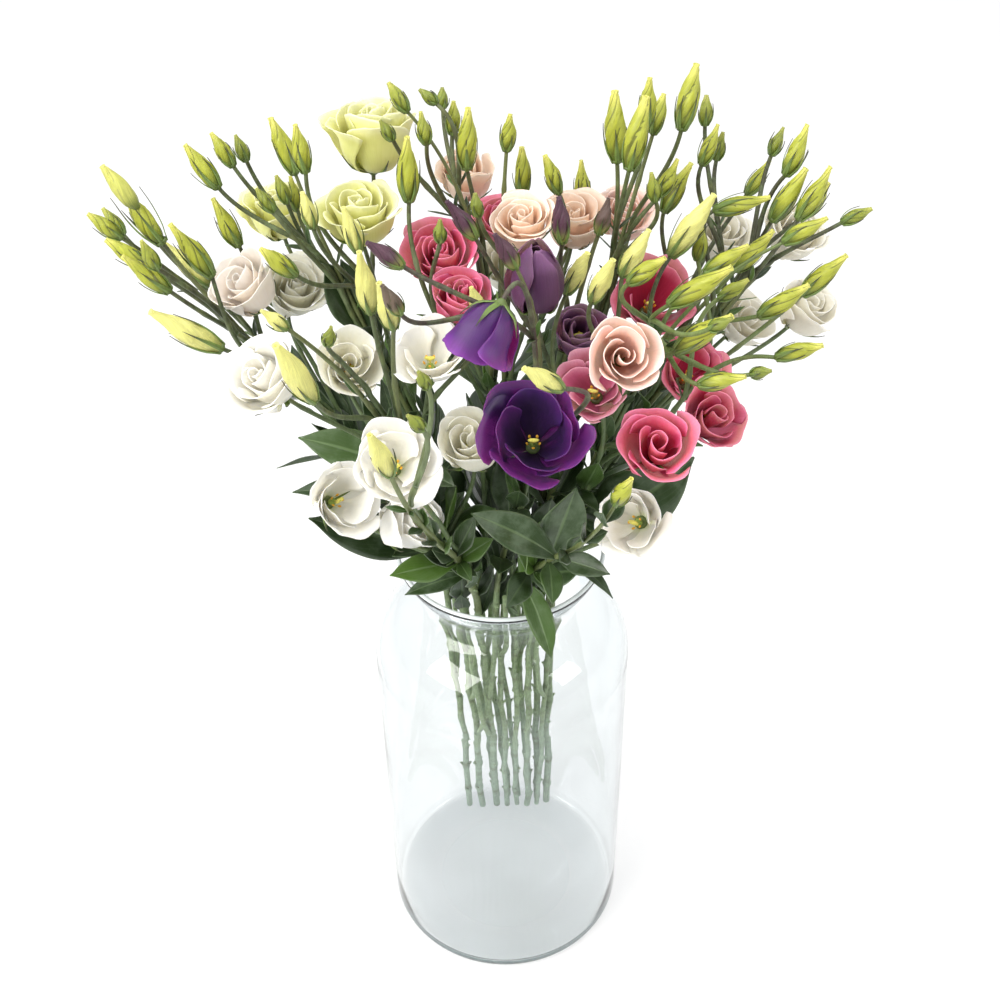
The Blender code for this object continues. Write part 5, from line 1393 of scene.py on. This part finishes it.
def cut_stubs(spray, room, fine, bulk, knots, number):
    """Short stubs of the leaves cut off at a main stem's lower joints."""
    rng = draws("stubs", number)
    made = []
    steps, run = walked(fine), tangents(fine)
    side, other = frames(fine)
    for knot, start in knots:
        k = int(np.abs(steps - knot).argmin())
        if fine[k, 2] > STUB_TOP:
            continue
        for half_turn in (0.0, math.pi):
            if rng.uniform() < 0.15:
                continue
            turn = start + half_turn + rng.normal(0.0, 0.3)
            spoke = side[k] * math.cos(turn) + other[k] * math.sin(turn)
            reach = bulk[k] + rng.uniform(0.0010, 0.0030)
            line = fine[k] + unit(spoke + 1.3 * run[k]) * reach * np.linspace(0.3, 1.25, 4)[:, None]
            if room.gap(line[2:], 0.0004, spray.number, 0.03) > SMALL_CLEAR:
                made.append((line, (0.0016, 0.0014, 0.0011, 0.0007), np.ones(4)))
    return made


def side_shoots(spray, room):
    """Thin shoots that fork off the main stem inside the glass and run up beside it."""
    rng = draws("shoots", spray.number)
    lead = spray.tubes[0]
    line, run = lead["line"], tangents(lead["line"])
    made = []
    for level in rng.uniform(*SHOOT_LEVELS, 2):
        k = int(np.abs(line[:, 2] - level).argmin())
        for _ in range(40):
            span = rng.uniform(*SHOOT_LENGTH)
            turn = rng.uniform(0.0, 2 * math.pi)
            drift = rng.uniform(0.05, 0.17)
            tip = line[k] + span * unit(run[k] + drift * np.array([math.cos(turn), math.sin(turn), 0.0]))
            side = unit(tip - line[k] - run[k] * (run[k] @ (tip - line[k])))
            path = bezier(line[k], line[k] + side * 0.012 + run[k] * 0.02, tip - run[k] * span * 0.3, tip, 25)
            sizes = np.linspace(0.0019, 0.0013, 25)
            within = np.all((np.hypot(path[:, 0], path[:, 1]) < 0.044) | (path[:, 2] > 0.395))
            if within and room.gap(path, sizes, spray.number, 0.016) > 0.0005:
                room.add(path, sizes, spray.number)
                made.append((path, sizes))
                break
    return made


def stalks_of(spray, room):
    """A spray's stalks, each as its middle line, radii and swollen joints."""
    stalks = []
    for index, tube in enumerate(spray.tubes):
        number = 40 * spray.number + index
        line, radii = run_down(spray, tube, number)
        *stalk, knots = stalk_line(line, radii, number, tube["lead"])
        stalks.append(stalk)
        if tube["lead"]:
            stalks += cut_stubs(spray, room, stalk[0], stalk[1], knots, number)
    for index, (path, sizes) in enumerate(spray.shoots):
        stalks.append(stalk_line(path, sizes, 40 * spray.number + 900 + index, False)[:3])
    return stalks


def make_stalks(spray, room, finish):
    """A spray's main stem, branches and shoots as round stalks, with a curve for each."""
    name = "stalks_" + spray.name
    curve = bpy.data.curves.new(name, "CURVE")
    curve.dimensions = "3D"
    curve.bevel_depth = 1.0
    curve.bevel_resolution = 3
    curve.use_fill_caps = True
    joints, tones = [], []
    for index, (line, bulk, along) in enumerate(stalks_of(spray, room)):
        spline = curve.splines.new("POLY")
        spline.points.add(len(line) - 1)
        spline.points.foreach_set("co", np.c_[line, np.ones(len(line))].ravel())
        spline.points.foreach_set("radius", bulk)
        joints.append(np.repeat(along, STALK_SIDES))
        tones.append(np.full(len(line) * STALK_SIDES, (index * 0.37) % 1.0 - 0.5))
    piece = bpy.data.objects.new(name, curve)
    bpy.context.scene.collection.objects.link(piece)
    active(piece)
    bpy.ops.object.convert(target="MESH")
    piece = bpy.context.object
    for mark, parts in (("along", joints), ("tone", tones)):
        values = np.zeros(len(piece.data.vertices))
        given = np.concatenate(parts)
        values[:len(given)] = given[:len(values)]
        set_mark(piece.data, mark, values)
    bpy.ops.object.shade_smooth_by_angle(angle=math.radians(50))
    show(piece, finish, "stem_" + spray.name)


# Leaves


def add_leaf(heap, sheet, leaf, number, fold=0.30, wave=0.10):
    """A leaf shaped from the flat sheet: folded along its midrib, waved at its edges."""
    across, along, faces = sheet
    rng = draws("leaf", number)
    fine = 41
    shape = leaf_shape(leaf["root"], leaf["run"], leaf["tip"], leaf["width"], fine, leaf.get("front", 0.0))
    at = along * (fine - 1)
    cell = np.minimum(at.astype(int), fine - 2)
    rest = at - cell
    middle, wide, normal, half = [(rows[cell].T * (1 - rest) + rows[cell + 1].T * rest).T for rows in shape]
    phase, rolls = rng.uniform(0, 6.28, 2), rng.normal(0.0, 0.12, 2)
    edge = np.abs(across)
    lift = (fold + rolls[0]) * edge ** 1.3 - 0.10 * edge ** 4
    lift = lift + wave * edge ** 2 * np.sin(along * 9.0 + phase[0] + 1.6 * np.sign(across))
    lift = lift + rolls[1] * across * along
    points = middle + wide * (across * half * (1 - 0.08 * edge * fold))[:, None]
    points = points + normal * (lift * half)[:, None]
    heap.add(points, faces, across, along, rng.uniform(-1.0, 1.0))


def settle(spray, room, root, run, tip, width, steps, fill, rest, clear):
    """A small leaf put here if there is room for it: then the leaf, and its place is taken."""
    centres, sizes = leaf_balls(leaf_shape(root, run, tip, width, steps))
    if room.gap(centres, sizes * fill, spray.number, rest) <= clear:
        return None
    room.add(centres, sizes * fill, spray.number)
    return {"root": root, "run": run, "tip": tip, "width": width}


def partner_of(spray, room, leaf, length):
    """A smaller leaf on the other side of the stem from this one, if there is room for it."""
    root, run = leaf["root"], leaf["run"]
    gone = leaf["tip"] - root
    level = gone - run * (gone @ run)
    for span in (length, length * 0.75, length * 0.5):
        width = min(leaf["width"] * 0.85, 0.42 * span)
        for step in range(13):
            turn = math.radians(180.0 + 12.0 * ((step + 1) // 2) * (1 if step % 2 else -1))
            tip = root + unit(0.75 * run + unit(spun(level, run, turn))) * span
            made = settle(spray, room, root, run, tip, width, 13, 1.0, LEAF_REST, LEAF_CLEAR)
            if made:
                return made
    return None


def clear_of_glass(centres, sizes):
    """Whether balls keep inside the neck and the lip."""
    inside = np.interp(centres[:, 2], (0.300, 0.334, 0.343, 0.350, 0.360, 0.368, 0.378, 0.387, 0.397),
                       (0.088, 0.076, 0.066, 0.0515, 0.0515, 0.0550, 0.0610, 0.0665, 0.0705))
    away = np.hypot(centres[:, 0], centres[:, 1]) + sizes
    return bool(np.all((away < inside) | (centres[:, 2] > 0.403)))


def fill_leaves(spray, room):
    """Smaller leaves up the main stem, in pairs, wherever the large ones leave room."""
    rng = draws("small leaves", spray.number)
    line = spray.tubes[0]["line"]
    run = tangents(line)
    sparse = 2.2 if spray.name.startswith("white_low") else 1.0
    height = FILL_START
    while height < FILL_END:
        k = int(np.abs(line[:, 2] - height).argmin())
        low = height < FILL_LOW
        start = rng.uniform(0.0, 2 * math.pi)
        level = unit(np.cross(run[k], (0.1, 1.0, 0.2)))
        upward = unit(run[k] + (0.0, 0.0, 0.7 if low else 0.2))
        for pair in (0.0, math.pi):
            span = rng.uniform(0.034, 0.056) if low else rng.uniform(0.018, 0.034)
            width = span * (rng.uniform(0.27, 0.42) if low else rng.uniform(0.34, 0.50))
            rise = rng.uniform(2.6, 4.5) if height < 0.412 else rng.uniform(1.5, 3.4)
            for step in range(8):
                shrink = 1.0 if step < 5 else 0.7
                turn = start + pair + math.radians(18.0) * ((step % 5 + 1) // 2) * (1 if step % 2 else -1)
                tip = line[k] + unit(rise * upward + spun(level, run[k], turn)) * span * shrink
                centres, sizes = leaf_balls(leaf_shape(line[k], run[k], tip, width * shrink, 8))
                if not clear_of_glass(centres, sizes * 0.5):
                    continue
                made = settle(spray, room, line[k], run[k], tip, width * shrink, 8, 0.5, SMALL_REST,
                              SMALL_CLEAR)
                if made:
                    spray.partners.append(made)
                    break
        height += rng.uniform(0.009, 0.014) * sparse if low else rng.uniform(0.018, 0.030)


def bracts_at(spray, room, root, run, number):
    """A pair of small narrow leaves where a stalk forks."""
    rng = draws("bracts", number)
    level = unit(np.cross(run, (0.3, 1.0, 0.2)))
    start = rng.uniform(0.0, math.pi)
    for half_turn in (0.0, math.pi):
        span = rng.uniform(0.008, 0.020)
        for step in range(5):
            tip = root + unit(0.9 * run + 0.8 * spun(level, run, start + half_turn + 0.35 * step)) * span
            made = settle(spray, room, root, run, tip, 0.26 * span, 7, 0.5, SMALL_REST, BRACT_CLEAR)
            if made:
                spray.bracts.append(made)
                break


def make_leaves(spray, sheets, finish):
    """A spray's leaves, the smaller partners opposite them and the bracts at its forks."""
    heap = Heap()
    for kind, leaves, first, shape in (("leaf", spray.leaves, 0, ()), ("leaf", spray.partners, 50, ()),
                                       ("bract", spray.bracts, 3000, (0.45, 0.0))):
        for index, leaf in enumerate(leaves):
            add_leaf(heap, sheets[kind], leaf, 100 * spray.number + first + index, *shape)
    heap.piece("leaves_" + spray.name, finish, "leaf", "stem_" + spray.name, LEAF_THICK)


# Buds and calyces


def columns_of(places):
    """On which of the six columns of its petal each point of a bud lies."""
    turn = np.degrees(np.arctan2(places[:, 1], places[:, 0])) % BUD_FOLD
    return np.round(turn / (BUD_FOLD / 6)) % 6


def model_bud():
    """A bud one unit long and one in radius: petals wrapped round each other, with a small open tip."""
    levels = np.linspace(0.0, 1.0, 25) ** 0.92
    rings = list(zip(through(BUD_OUTLINE, levels).tolist(), levels.tolist()))
    rings[-2] = (0.235, rings[-2][1])
    rings += [(0.20, 1.004), (0.13, 0.985), (0.08, 0.955)]
    bud = ring_up(rings, 30)
    active(bud)
    for column, wall in enumerate(BUD_WALLS):
        def on_column(places, column=column):
            around = np.hypot(places[:, 0], places[:, 1]) > 0.02
            return (columns_of(places) == column) & (places[:, 2] > 0.10) & around
        select_points(bud, on_column)
        bpy.ops.transform.resize(value=(wall, wall, 1.0), center_override=(0.0, 0.0, 0.0))
    bpy.ops.object.mode_set(mode="OBJECT")
    points, faces = taken(bud)
    return points, faces, columns_of(points) / 5.0


def add_bud(heap, model, root, way, length, number, tone):
    """A bud in its place, its folds of uneven depth, twisted towards its tip and bent a little."""
    points, faces, across = model
    rng = draws("bud", number)
    side, other = across_of(way)
    along = points[:, 2]
    flat = np.arctan2(points[:, 1], points[:, 0])
    fold = 1.0 + soft_step(0.15, 0.6, along) * 0.07 * np.sin(flat + rng.uniform(0.0, 6.28))
    fold = fold + soft_step(0.3, 0.7, along) * 0.05 * np.sin(2.0 * flat + rng.uniform(0.0, 6.28))
    full = rng.uniform(0.0, 1.0) ** 0.9
    fold = fold * (1.0 + full * (through(FULL_BUD, along) - 1.0))
    radius = np.hypot(points[:, 0], points[:, 1]) * fold * (BUD_GIRTH + BUD_FATNESS * length) * 0.94
    turn = flat + rng.uniform(0.0, 6.28) + math.radians(rng.uniform(90.0, 190.0)) * along ** 1.7
    bend = rng.normal(0.0, 0.035, 2) * length
    reach = along * length * rng.uniform(0.88, 0.95)
    middle = root + way * reach[:, None]
    middle = middle + side * (bend[0] * along ** 2)[:, None] + other * (bend[1] * along ** 2)[:, None]
    spoke = side * np.cos(turn)[:, None] + other * np.sin(turn)[:, None]
    heap.add(middle + spoke * radius[:, None], faces, across, along, tone)


def add_sepals(heap, sheet, root, way, length, radius_at, number, spread, wide=0.0017):
    """Narrow sepals that lie along what they hold and stand off at their tips."""
    across, along, faces = sheet
    rng = draws("sepals", number)
    side, other = across_of(way)
    start = rng.uniform(0.0, 6.28)
    for index in range(5):
        own = length * rng.uniform(0.75, 1.1)
        turn = start + 2 * math.pi * index / 5 + rng.normal(0.0, 0.08)
        spoke = side * math.cos(turn) + other * math.sin(turn)
        edge = np.cross(way, spoke)
        stand = spread * rng.uniform(0.0, 1.6)
        rise = along * own
        out = radius_at(rise) + SEPAL_GAP + stand * own * along ** 2.2
        half = wide * through((0.9, 1.0, 0.8, 0.5, 0.25, 0.05), along)
        points = root + way * rise[:, None] + spoke * (out - 0.10 * half * across ** 2)[:, None]
        points = points + edge * (half * across)[:, None]
        heap.add(points, faces, across, along, rng.uniform(-1.0, 1.0))


def model_seat():
    """The small green cup that a bud or bloom sits in, one unit in radius and height."""
    rings = [(0.25, -0.55), (0.42, -0.35), (0.74, 0.0), (0.95, 0.4), (1.0, 0.75), (0.90, 0.98), (0.5, 1.0)]
    return taken(ring_up(rings, 12))


def add_seat(heap, model, root, way, radius, height):
    """A seat in its place."""
    points, faces = model
    side, other = across_of(way)
    placed = root + side * points[:, :1] * radius + other * points[:, 1:2] * radius
    heap.add(placed + way * points[:, 2:] * height, faces, 0.0, 0.5, 0.0)


def place_bud(heap, calyx, models, sheets, root, way, length, number, pale, double, far):
    """One bud, or two where it is double, with its sepals and its seat."""
    girth = BUD_GIRTH + BUD_FATNESS * length
    tone = -1.0 if pale else float(np.clip((0.030 - length) / 0.014, 0.0, 1.0))
    if double:
        aside = unit(np.cross(way, (0.0, 1.0, 0.4)))
        add_bud(heap, models["bud"], root + way * 0.44 * length - aside * 0.2 * girth, way,
                0.58 * length, number + FIRST_DRAWS["twin"], -0.55)
        add_bud(heap, models["bud"], root + aside * 0.1 * girth, way, 0.66 * length, number, tone)
    else:
        add_bud(heap, models["bud"], root, way, length, number, tone)

    def bulge(rise):
        return girth * through(BUD_OUTLINE, rise / (0.92 * length)) * 0.97
    add_sepals(calyx, sheets["sepal"], root, way, length * (0.64 if far else 0.55), bulge, number,
               0.10 if far else 0.06, 0.0011 if length < 0.03 else 0.0014)
    add_seat(calyx, models["seat"], root, way, 0.55 * girth, 0.0022)


def make_buds(spray, blooms, models, sheets, finishes):
    """A spray's buds, and the calyces of its buds and blooms."""
    green, dark, calyx = Heap(), Heap(), Heap()
    bud_number = 0
    for index, tube in enumerate(spray.tubes):
        number = 100 * spray.number + index
        root, way, ends = tube["line"][-1], tube["way"], tube["ends"]
        if ends["kind"] == "bud":
            heap = dark if bud_number in PURPLE_BUDS.get(spray.name, ()) else green
            pale = bud_number in PALE_BUDS.get(spray.name, ())
            double = bud_number in DOUBLE_BUDS.get(spray.name, ())
            place_bud(heap, calyx, models, sheets, root, way, ends["length"], number, pale, double,
                      spray.name in FAR_SPRAYS)
            bud_number += 1
        else:
            place = blooms[ends["name"]][2]
            radius, height = bloom_frame(place)[4:]

            def cup(rise, radius=radius, height=height, reach=CUPS[place[1]][1]):
                return radius * through(reach, np.interp(rise / height, RISE, np.linspace(0, 1, 5))) * 1.02
            add_sepals(calyx, sheets["sepal"], root, way, 0.017, cup, number, 0.12)
            add_seat(calyx, models["seat"], root, way, CALYX_RADIUS, 0.0034)
    node = "stem_" + spray.name
    if green.count:
        green.piece("buds_" + spray.name, finishes["bud"], "bud", node)
    if dark.count:
        dark.piece("purple_buds_" + spray.name, finishes["bud_purple"], "bud_purple", node)
    calyx.piece("calyces_" + spray.name, finishes["calyx"], "calyx", node, SEPAL_THICK)


# Blooms


def whorls_of(place):
    """The whorls of a bloom, by its kind or its own way of opening."""
    if place[0] in GOBLETS:
        return WHORLS["goblet"]
    return WHORLS["swirl" if place[0] in SWIRLED else place[1]]


def petal_shape(place, whorl, number, across, along, rng):
    """Points of one petal: a rounded blade that follows the cup, curled and ruffled at its rim."""
    base, axis, side, up, radius, height = bloom_frame(place)
    cup = CUPS[place[1]][1]
    count, reach, tall, spread, curl, ruffle, close, twist = whorls_of(place)[whorl]
    radius = radius * PETAL_REACH
    own = 1.0 + rng.normal(0.0, 0.035)
    tall = tall * (1.0 + rng.normal(0.0, 0.04))
    phase = rng.uniform(0.0, 6.28, 4)
    edge = np.abs(across)
    drop = 0.20 + rng.uniform(0.0, 0.08)
    s = along * (1.0 - drop * edge ** 2.2 * along ** 2)
    notch = np.exp(-((across - rng.normal(0.0, 0.35)) * 5.0) ** 2)
    point = rng.choice((-1.6, 0.6, 1.0))
    s = s * (1.0 - (0.025 * point * notch + 0.008 * np.sin(across * 21.0 + phase[3])) * along ** 6)
    wave = np.sin(across * 3.1 + phase[0]) + 0.35 * np.sin(across * 8.5 + phase[1]) * soft_step(0.7, 1.0, s)
    wave = wave * ruffle * radius * soft_step(0.40, 1.0, s)
    roll = soft_step(0.60, 1.0, s) * curl * rng.uniform(0.45, 1.5)
    corner = 1.0 + 0.7 * soft_step(0.35, 1.0, across * rng.choice((-1.0, 1.0)))
    flare = roll * corner * radius
    ring = radius * reach * own * through(cup, s) * (1.0 + twist * across) * (1.0 - close * s ** 3)
    ring = ring + wave + flare + 0.04 * radius * reach * (edge ** 3 - 0.3) * s
    turn = 2 * math.pi * (number + rng.normal(0.0, 0.06)) / count + whorl * 0.9 + sum(place[3])
    turn = turn + np.radians(spread) * across * through(PETAL_SPREAD, s)
    turn = turn + 0.06 * np.sin(s * 4.0 + phase[2])
    rise = height * tall * through(RISE, s) - 0.60 * roll * corner * radius * soft_step(0.78, 1.0, s)
    rise = rise + 0.40 * wave * np.cos(across * 2.0 + phase[2])
    spoke = np.cos(turn)[:, None] * side + np.sin(turn)[:, None] * up
    return base + axis * rise[:, None] + spoke * ring[:, None]


def make_bloom(name, place, number, sheet, finishes):
    """A bloom's petals, whorl by whorl."""
    rng = draws("petals", number)
    across, along, faces = sheet
    heap = Heap()
    for whorl, (count, *_) in enumerate(whorls_of(place)):
        for petal in range(count):
            points = petal_shape(place, whorl, petal, across, along, rng)
            heap.add(points, faces, across, along, rng.uniform(-1.0, 1.0))
    finish = finishes["petal_" + OWN_SHADES.get(name, place[5])]
    heap.piece("petals_" + name, finish, "petal_" + place[5], "bloom_" + name, PETAL_THICK)


def model_centre():
    """The middle of an open bloom: ovary, style and two-lobed stigma, then five stamens."""
    ovary = [(0.10, 0.0), (0.16, 0.10), (0.19, 0.24), (0.15, 0.38), (0.07, 0.48), (0.05, 0.60),
             (0.05, 0.74), (0.08, 0.80), (0.16, 0.86), (0.20, 0.92), (0.16, 0.99), (0.06, 1.01)]
    points, faces = taken(ring_up(ovary, 14))
    head = points[:, 2] > 0.78
    points[head, 0] *= 1.35
    points[head, 1] *= 0.55
    points[head, 2] += 0.05 * np.abs(points[head, 0]) / 0.2
    anther = [(0.02, 0.0), (0.02, 0.55), (0.022, 0.60), (0.055, 0.62), (0.075, 0.70), (0.06, 0.78),
              (0.015, 0.83)]
    stamen, stamen_faces = taken(ring_up(anther, 8))
    lean = 0.12 + 0.26 * np.clip(stamen[:, 2:], 0.0, 1.0) ** 1.2
    parts = [(points, faces, 0.0)]
    for index in range(5):
        turn = 2 * math.pi * index / 5 + 0.3
        way = np.array([math.cos(turn), math.sin(turn), 0.0])
        cross = np.array([-math.sin(turn), math.cos(turn), 0.0])
        placed = way * (stamen[:, :1] * 0.7 + lean) + cross * stamen[:, 1:2]
        placed[:, 2] = stamen[:, 2]
        parts.append((placed, stamen_faces, 1.0))
    return parts


def make_centre(name, place, parts, finish):
    """Stamens and pistil in the throat of a bloom."""
    base, axis, side, up, _, height = bloom_frame(place)
    heap = Heap()
    for points, faces, tone in parts:
        x, y, z = (points * CENTRE_SIZE).T[:, :, None]
        heap.add(base + axis * (0.14 * height) + side * x + up * y + axis * z, faces, 0.0, points[:, 2], tone)
    heap.piece("throat_" + name, finish, "stamen", "bloom_" + name)


def stamen_finish():
    """Yellow green pistil with orange yellow anthers."""
    made, shader, w = new_finish("stamen")
    cloud = w.noise(w.place(), 700.0, 3.0)
    head = w.remap(w.mark("along"), 0.50, 0.66)
    pistil = w.mix(head, (0.30, 0.42, 0.08), (0.62, 0.56, 0.10))
    anther = w.mix(head, (0.50, 0.52, 0.16), (0.80, 0.42, 0.03))
    colour = w.shaded(w.mix(w.mark("tone"), pistil, anther), w.remap(cloud, 0.3, 0.7, 0.8, 1.15))
    w.inputs(shader, Base_Color=colour, Roughness=0.6)
    w.relief(shader, cloud, 0.5, 0.0004)
    return made


# Floor, lights and camera


def make_stage():
    """A plain pale floor, wide enough to fill the view."""
    nothing_selected()
    bpy.ops.mesh.primitive_plane_add(size=14.0, location=(0.0, 2.0, 0.0))
    floor = bpy.context.object
    floor.name = "floor"
    bpy.ops.object.transform_apply(location=True, rotation=True, scale=True)
    made, shader, w = new_finish("floor")
    w.inputs(shader, Base_Color=(0.42, 0.42, 0.42), Roughness=0.9, Specular_IOR_Level=0.1,
             Emission_Color=(1.0, 1.0, 1.0), Emission_Strength=0.56)
    floor.data.materials.append(made)


def area_light(name, place, target, size, power, colour):
    """A soft rectangular light that faces a point."""
    lamp = bpy.data.lights.new(name, "AREA")
    lamp.shape = "RECTANGLE"
    lamp.size, lamp.size_y = size
    lamp.energy = power
    lamp.color = colour
    made = bpy.data.objects.new(name, lamp)
    bpy.context.scene.collection.objects.link(made)
    way = Vector(target) - Vector(place)
    made.matrix_world = Matrix.Translation(place) @ way.to_track_quat("-Z", "Y").to_matrix().to_4x4()


def make_lights():
    """A bright even surround with soft window light from the left, the front and above."""
    world = bpy.data.worlds.new("surround")
    world.use_nodes = True
    w = Wiring(world.node_tree)
    w.inputs(w.tree.nodes["Background"], Color=(0.97, 0.98, 1.0), Strength=0.64)
    bpy.context.scene.world = world
    for light in LIGHTS:
        area_light(*light)


def make_camera():
    """The camera where the photograph's stood."""
    lens = bpy.data.cameras.new("camera")
    lens.lens = EYE_LENS
    lens.sensor_width = 36.0
    lens.clip_start = 0.05
    lens.clip_end = 60.0
    camera = bpy.data.objects.new("camera", lens)
    bpy.context.scene.collection.objects.link(camera)
    tilt = Matrix.Rotation(math.radians(90.0 - EYE_DOWN), 4, "X")
    camera.matrix_world = Matrix.Translation(EYE) @ tilt @ Matrix.Rotation(math.radians(EYE_ROLL), 4, "Z")
    bpy.context.scene.camera = camera


def grow_details(sprays, room):
    """The tiny buds and side shoots, then the smaller leaves and the bracts at the forks."""
    for name, spray in sprays.items():
        for bud in TINY_BUDS.get(name, ()):
            grow_branch(spray, room, *bud_end(*bud), TINY_BRANCH)
    for spray in sprays.values():
        spray.shoots = side_shoots(spray, room)
    for spray in sprays.values():
        for leaf in spray.leaves:
            span = float(np.linalg.norm(leaf["tip"] - leaf["root"]))
            partner = partner_of(spray, room, leaf, min(0.62 * span, 0.045))
            if partner:
                spray.partners.append(partner)
        fill_leaves(spray, room)
        for index, fork in enumerate(spray.forks):
            lines = [tube["line"] for tube in spray.tubes]
            near = min(lines, key=lambda line: np.linalg.norm(line - fork, axis=1).min())
            k = int(np.linalg.norm(near - fork, axis=1).argmin())
            bracts_at(spray, room, fork, tangents(near)[k], 60 * spray.number + index)


def make_finishes():
    """The finishes of the petals, leaves, buds and calyces."""
    petal, bud = petal_group(), bud_group()
    made = {}
    for colour, (throat, body, rim, vein) in PETALS.items():
        sheen = 0.02 if colour.startswith("purple") else 0.10
        made["petal_" + colour] = skin("petal_" + colour, petal, 0.35, 0.35, sheen,
                                       Throat=throat, Body=body, Rim=rim, Vein=vein)
    made["leaf"] = skin("leaf", leaf_group(), 0.5, **LEAF_COLOURS)
    made["bud"] = skin("bud", bud, 0.5, 0.15, **BUD_COLOURS)
    made["bud_purple"] = skin("bud_purple", bud, 0.5, **DARK_BUD_COLOURS)
    made["calyx"] = skin("calyx", calyx_group(), 0.3, **CALYX_COLOURS)
    return made


def main():
    """Everything, in its order: camera, arrangement, pieces, floor and lights."""
    make_camera()
    sprays, blooms, room = arrange()
    grow_details(sprays, room)
    sheets = {"petal": blank_sheet(18, 18), "leaf": blank_sheet(10, 22), "bract": blank_sheet(4, 8),
              "sepal": blank_sheet(2, 8)}
    models = {"bud": model_bud(), "seat": model_seat()}
    finishes, stalk = make_finishes(), stalk_group()
    make_vase()
    make_lip()
    for name, spray in sprays.items():
        tint = skin("stem_" + name, stalk, 0.35, Upper=STALK_TINTS[name], **STALK_COLOURS)
        make_stalks(spray, room, tint)
        make_leaves(spray, sheets, finishes["leaf"])
        make_buds(spray, blooms, models, sheets, finishes)
    centre, gold = model_centre(), stamen_finish()
    for name, (_, number, place) in blooms.items():
        make_bloom(name, place, number, sheets["petal"], finishes)
        if place[1] in ("open", "bell"):
            make_centre(name, place, centre, gold)
    make_stage()
    make_lights()
    bpy.context.scene.view_settings.view_transform = "Standard"


main()
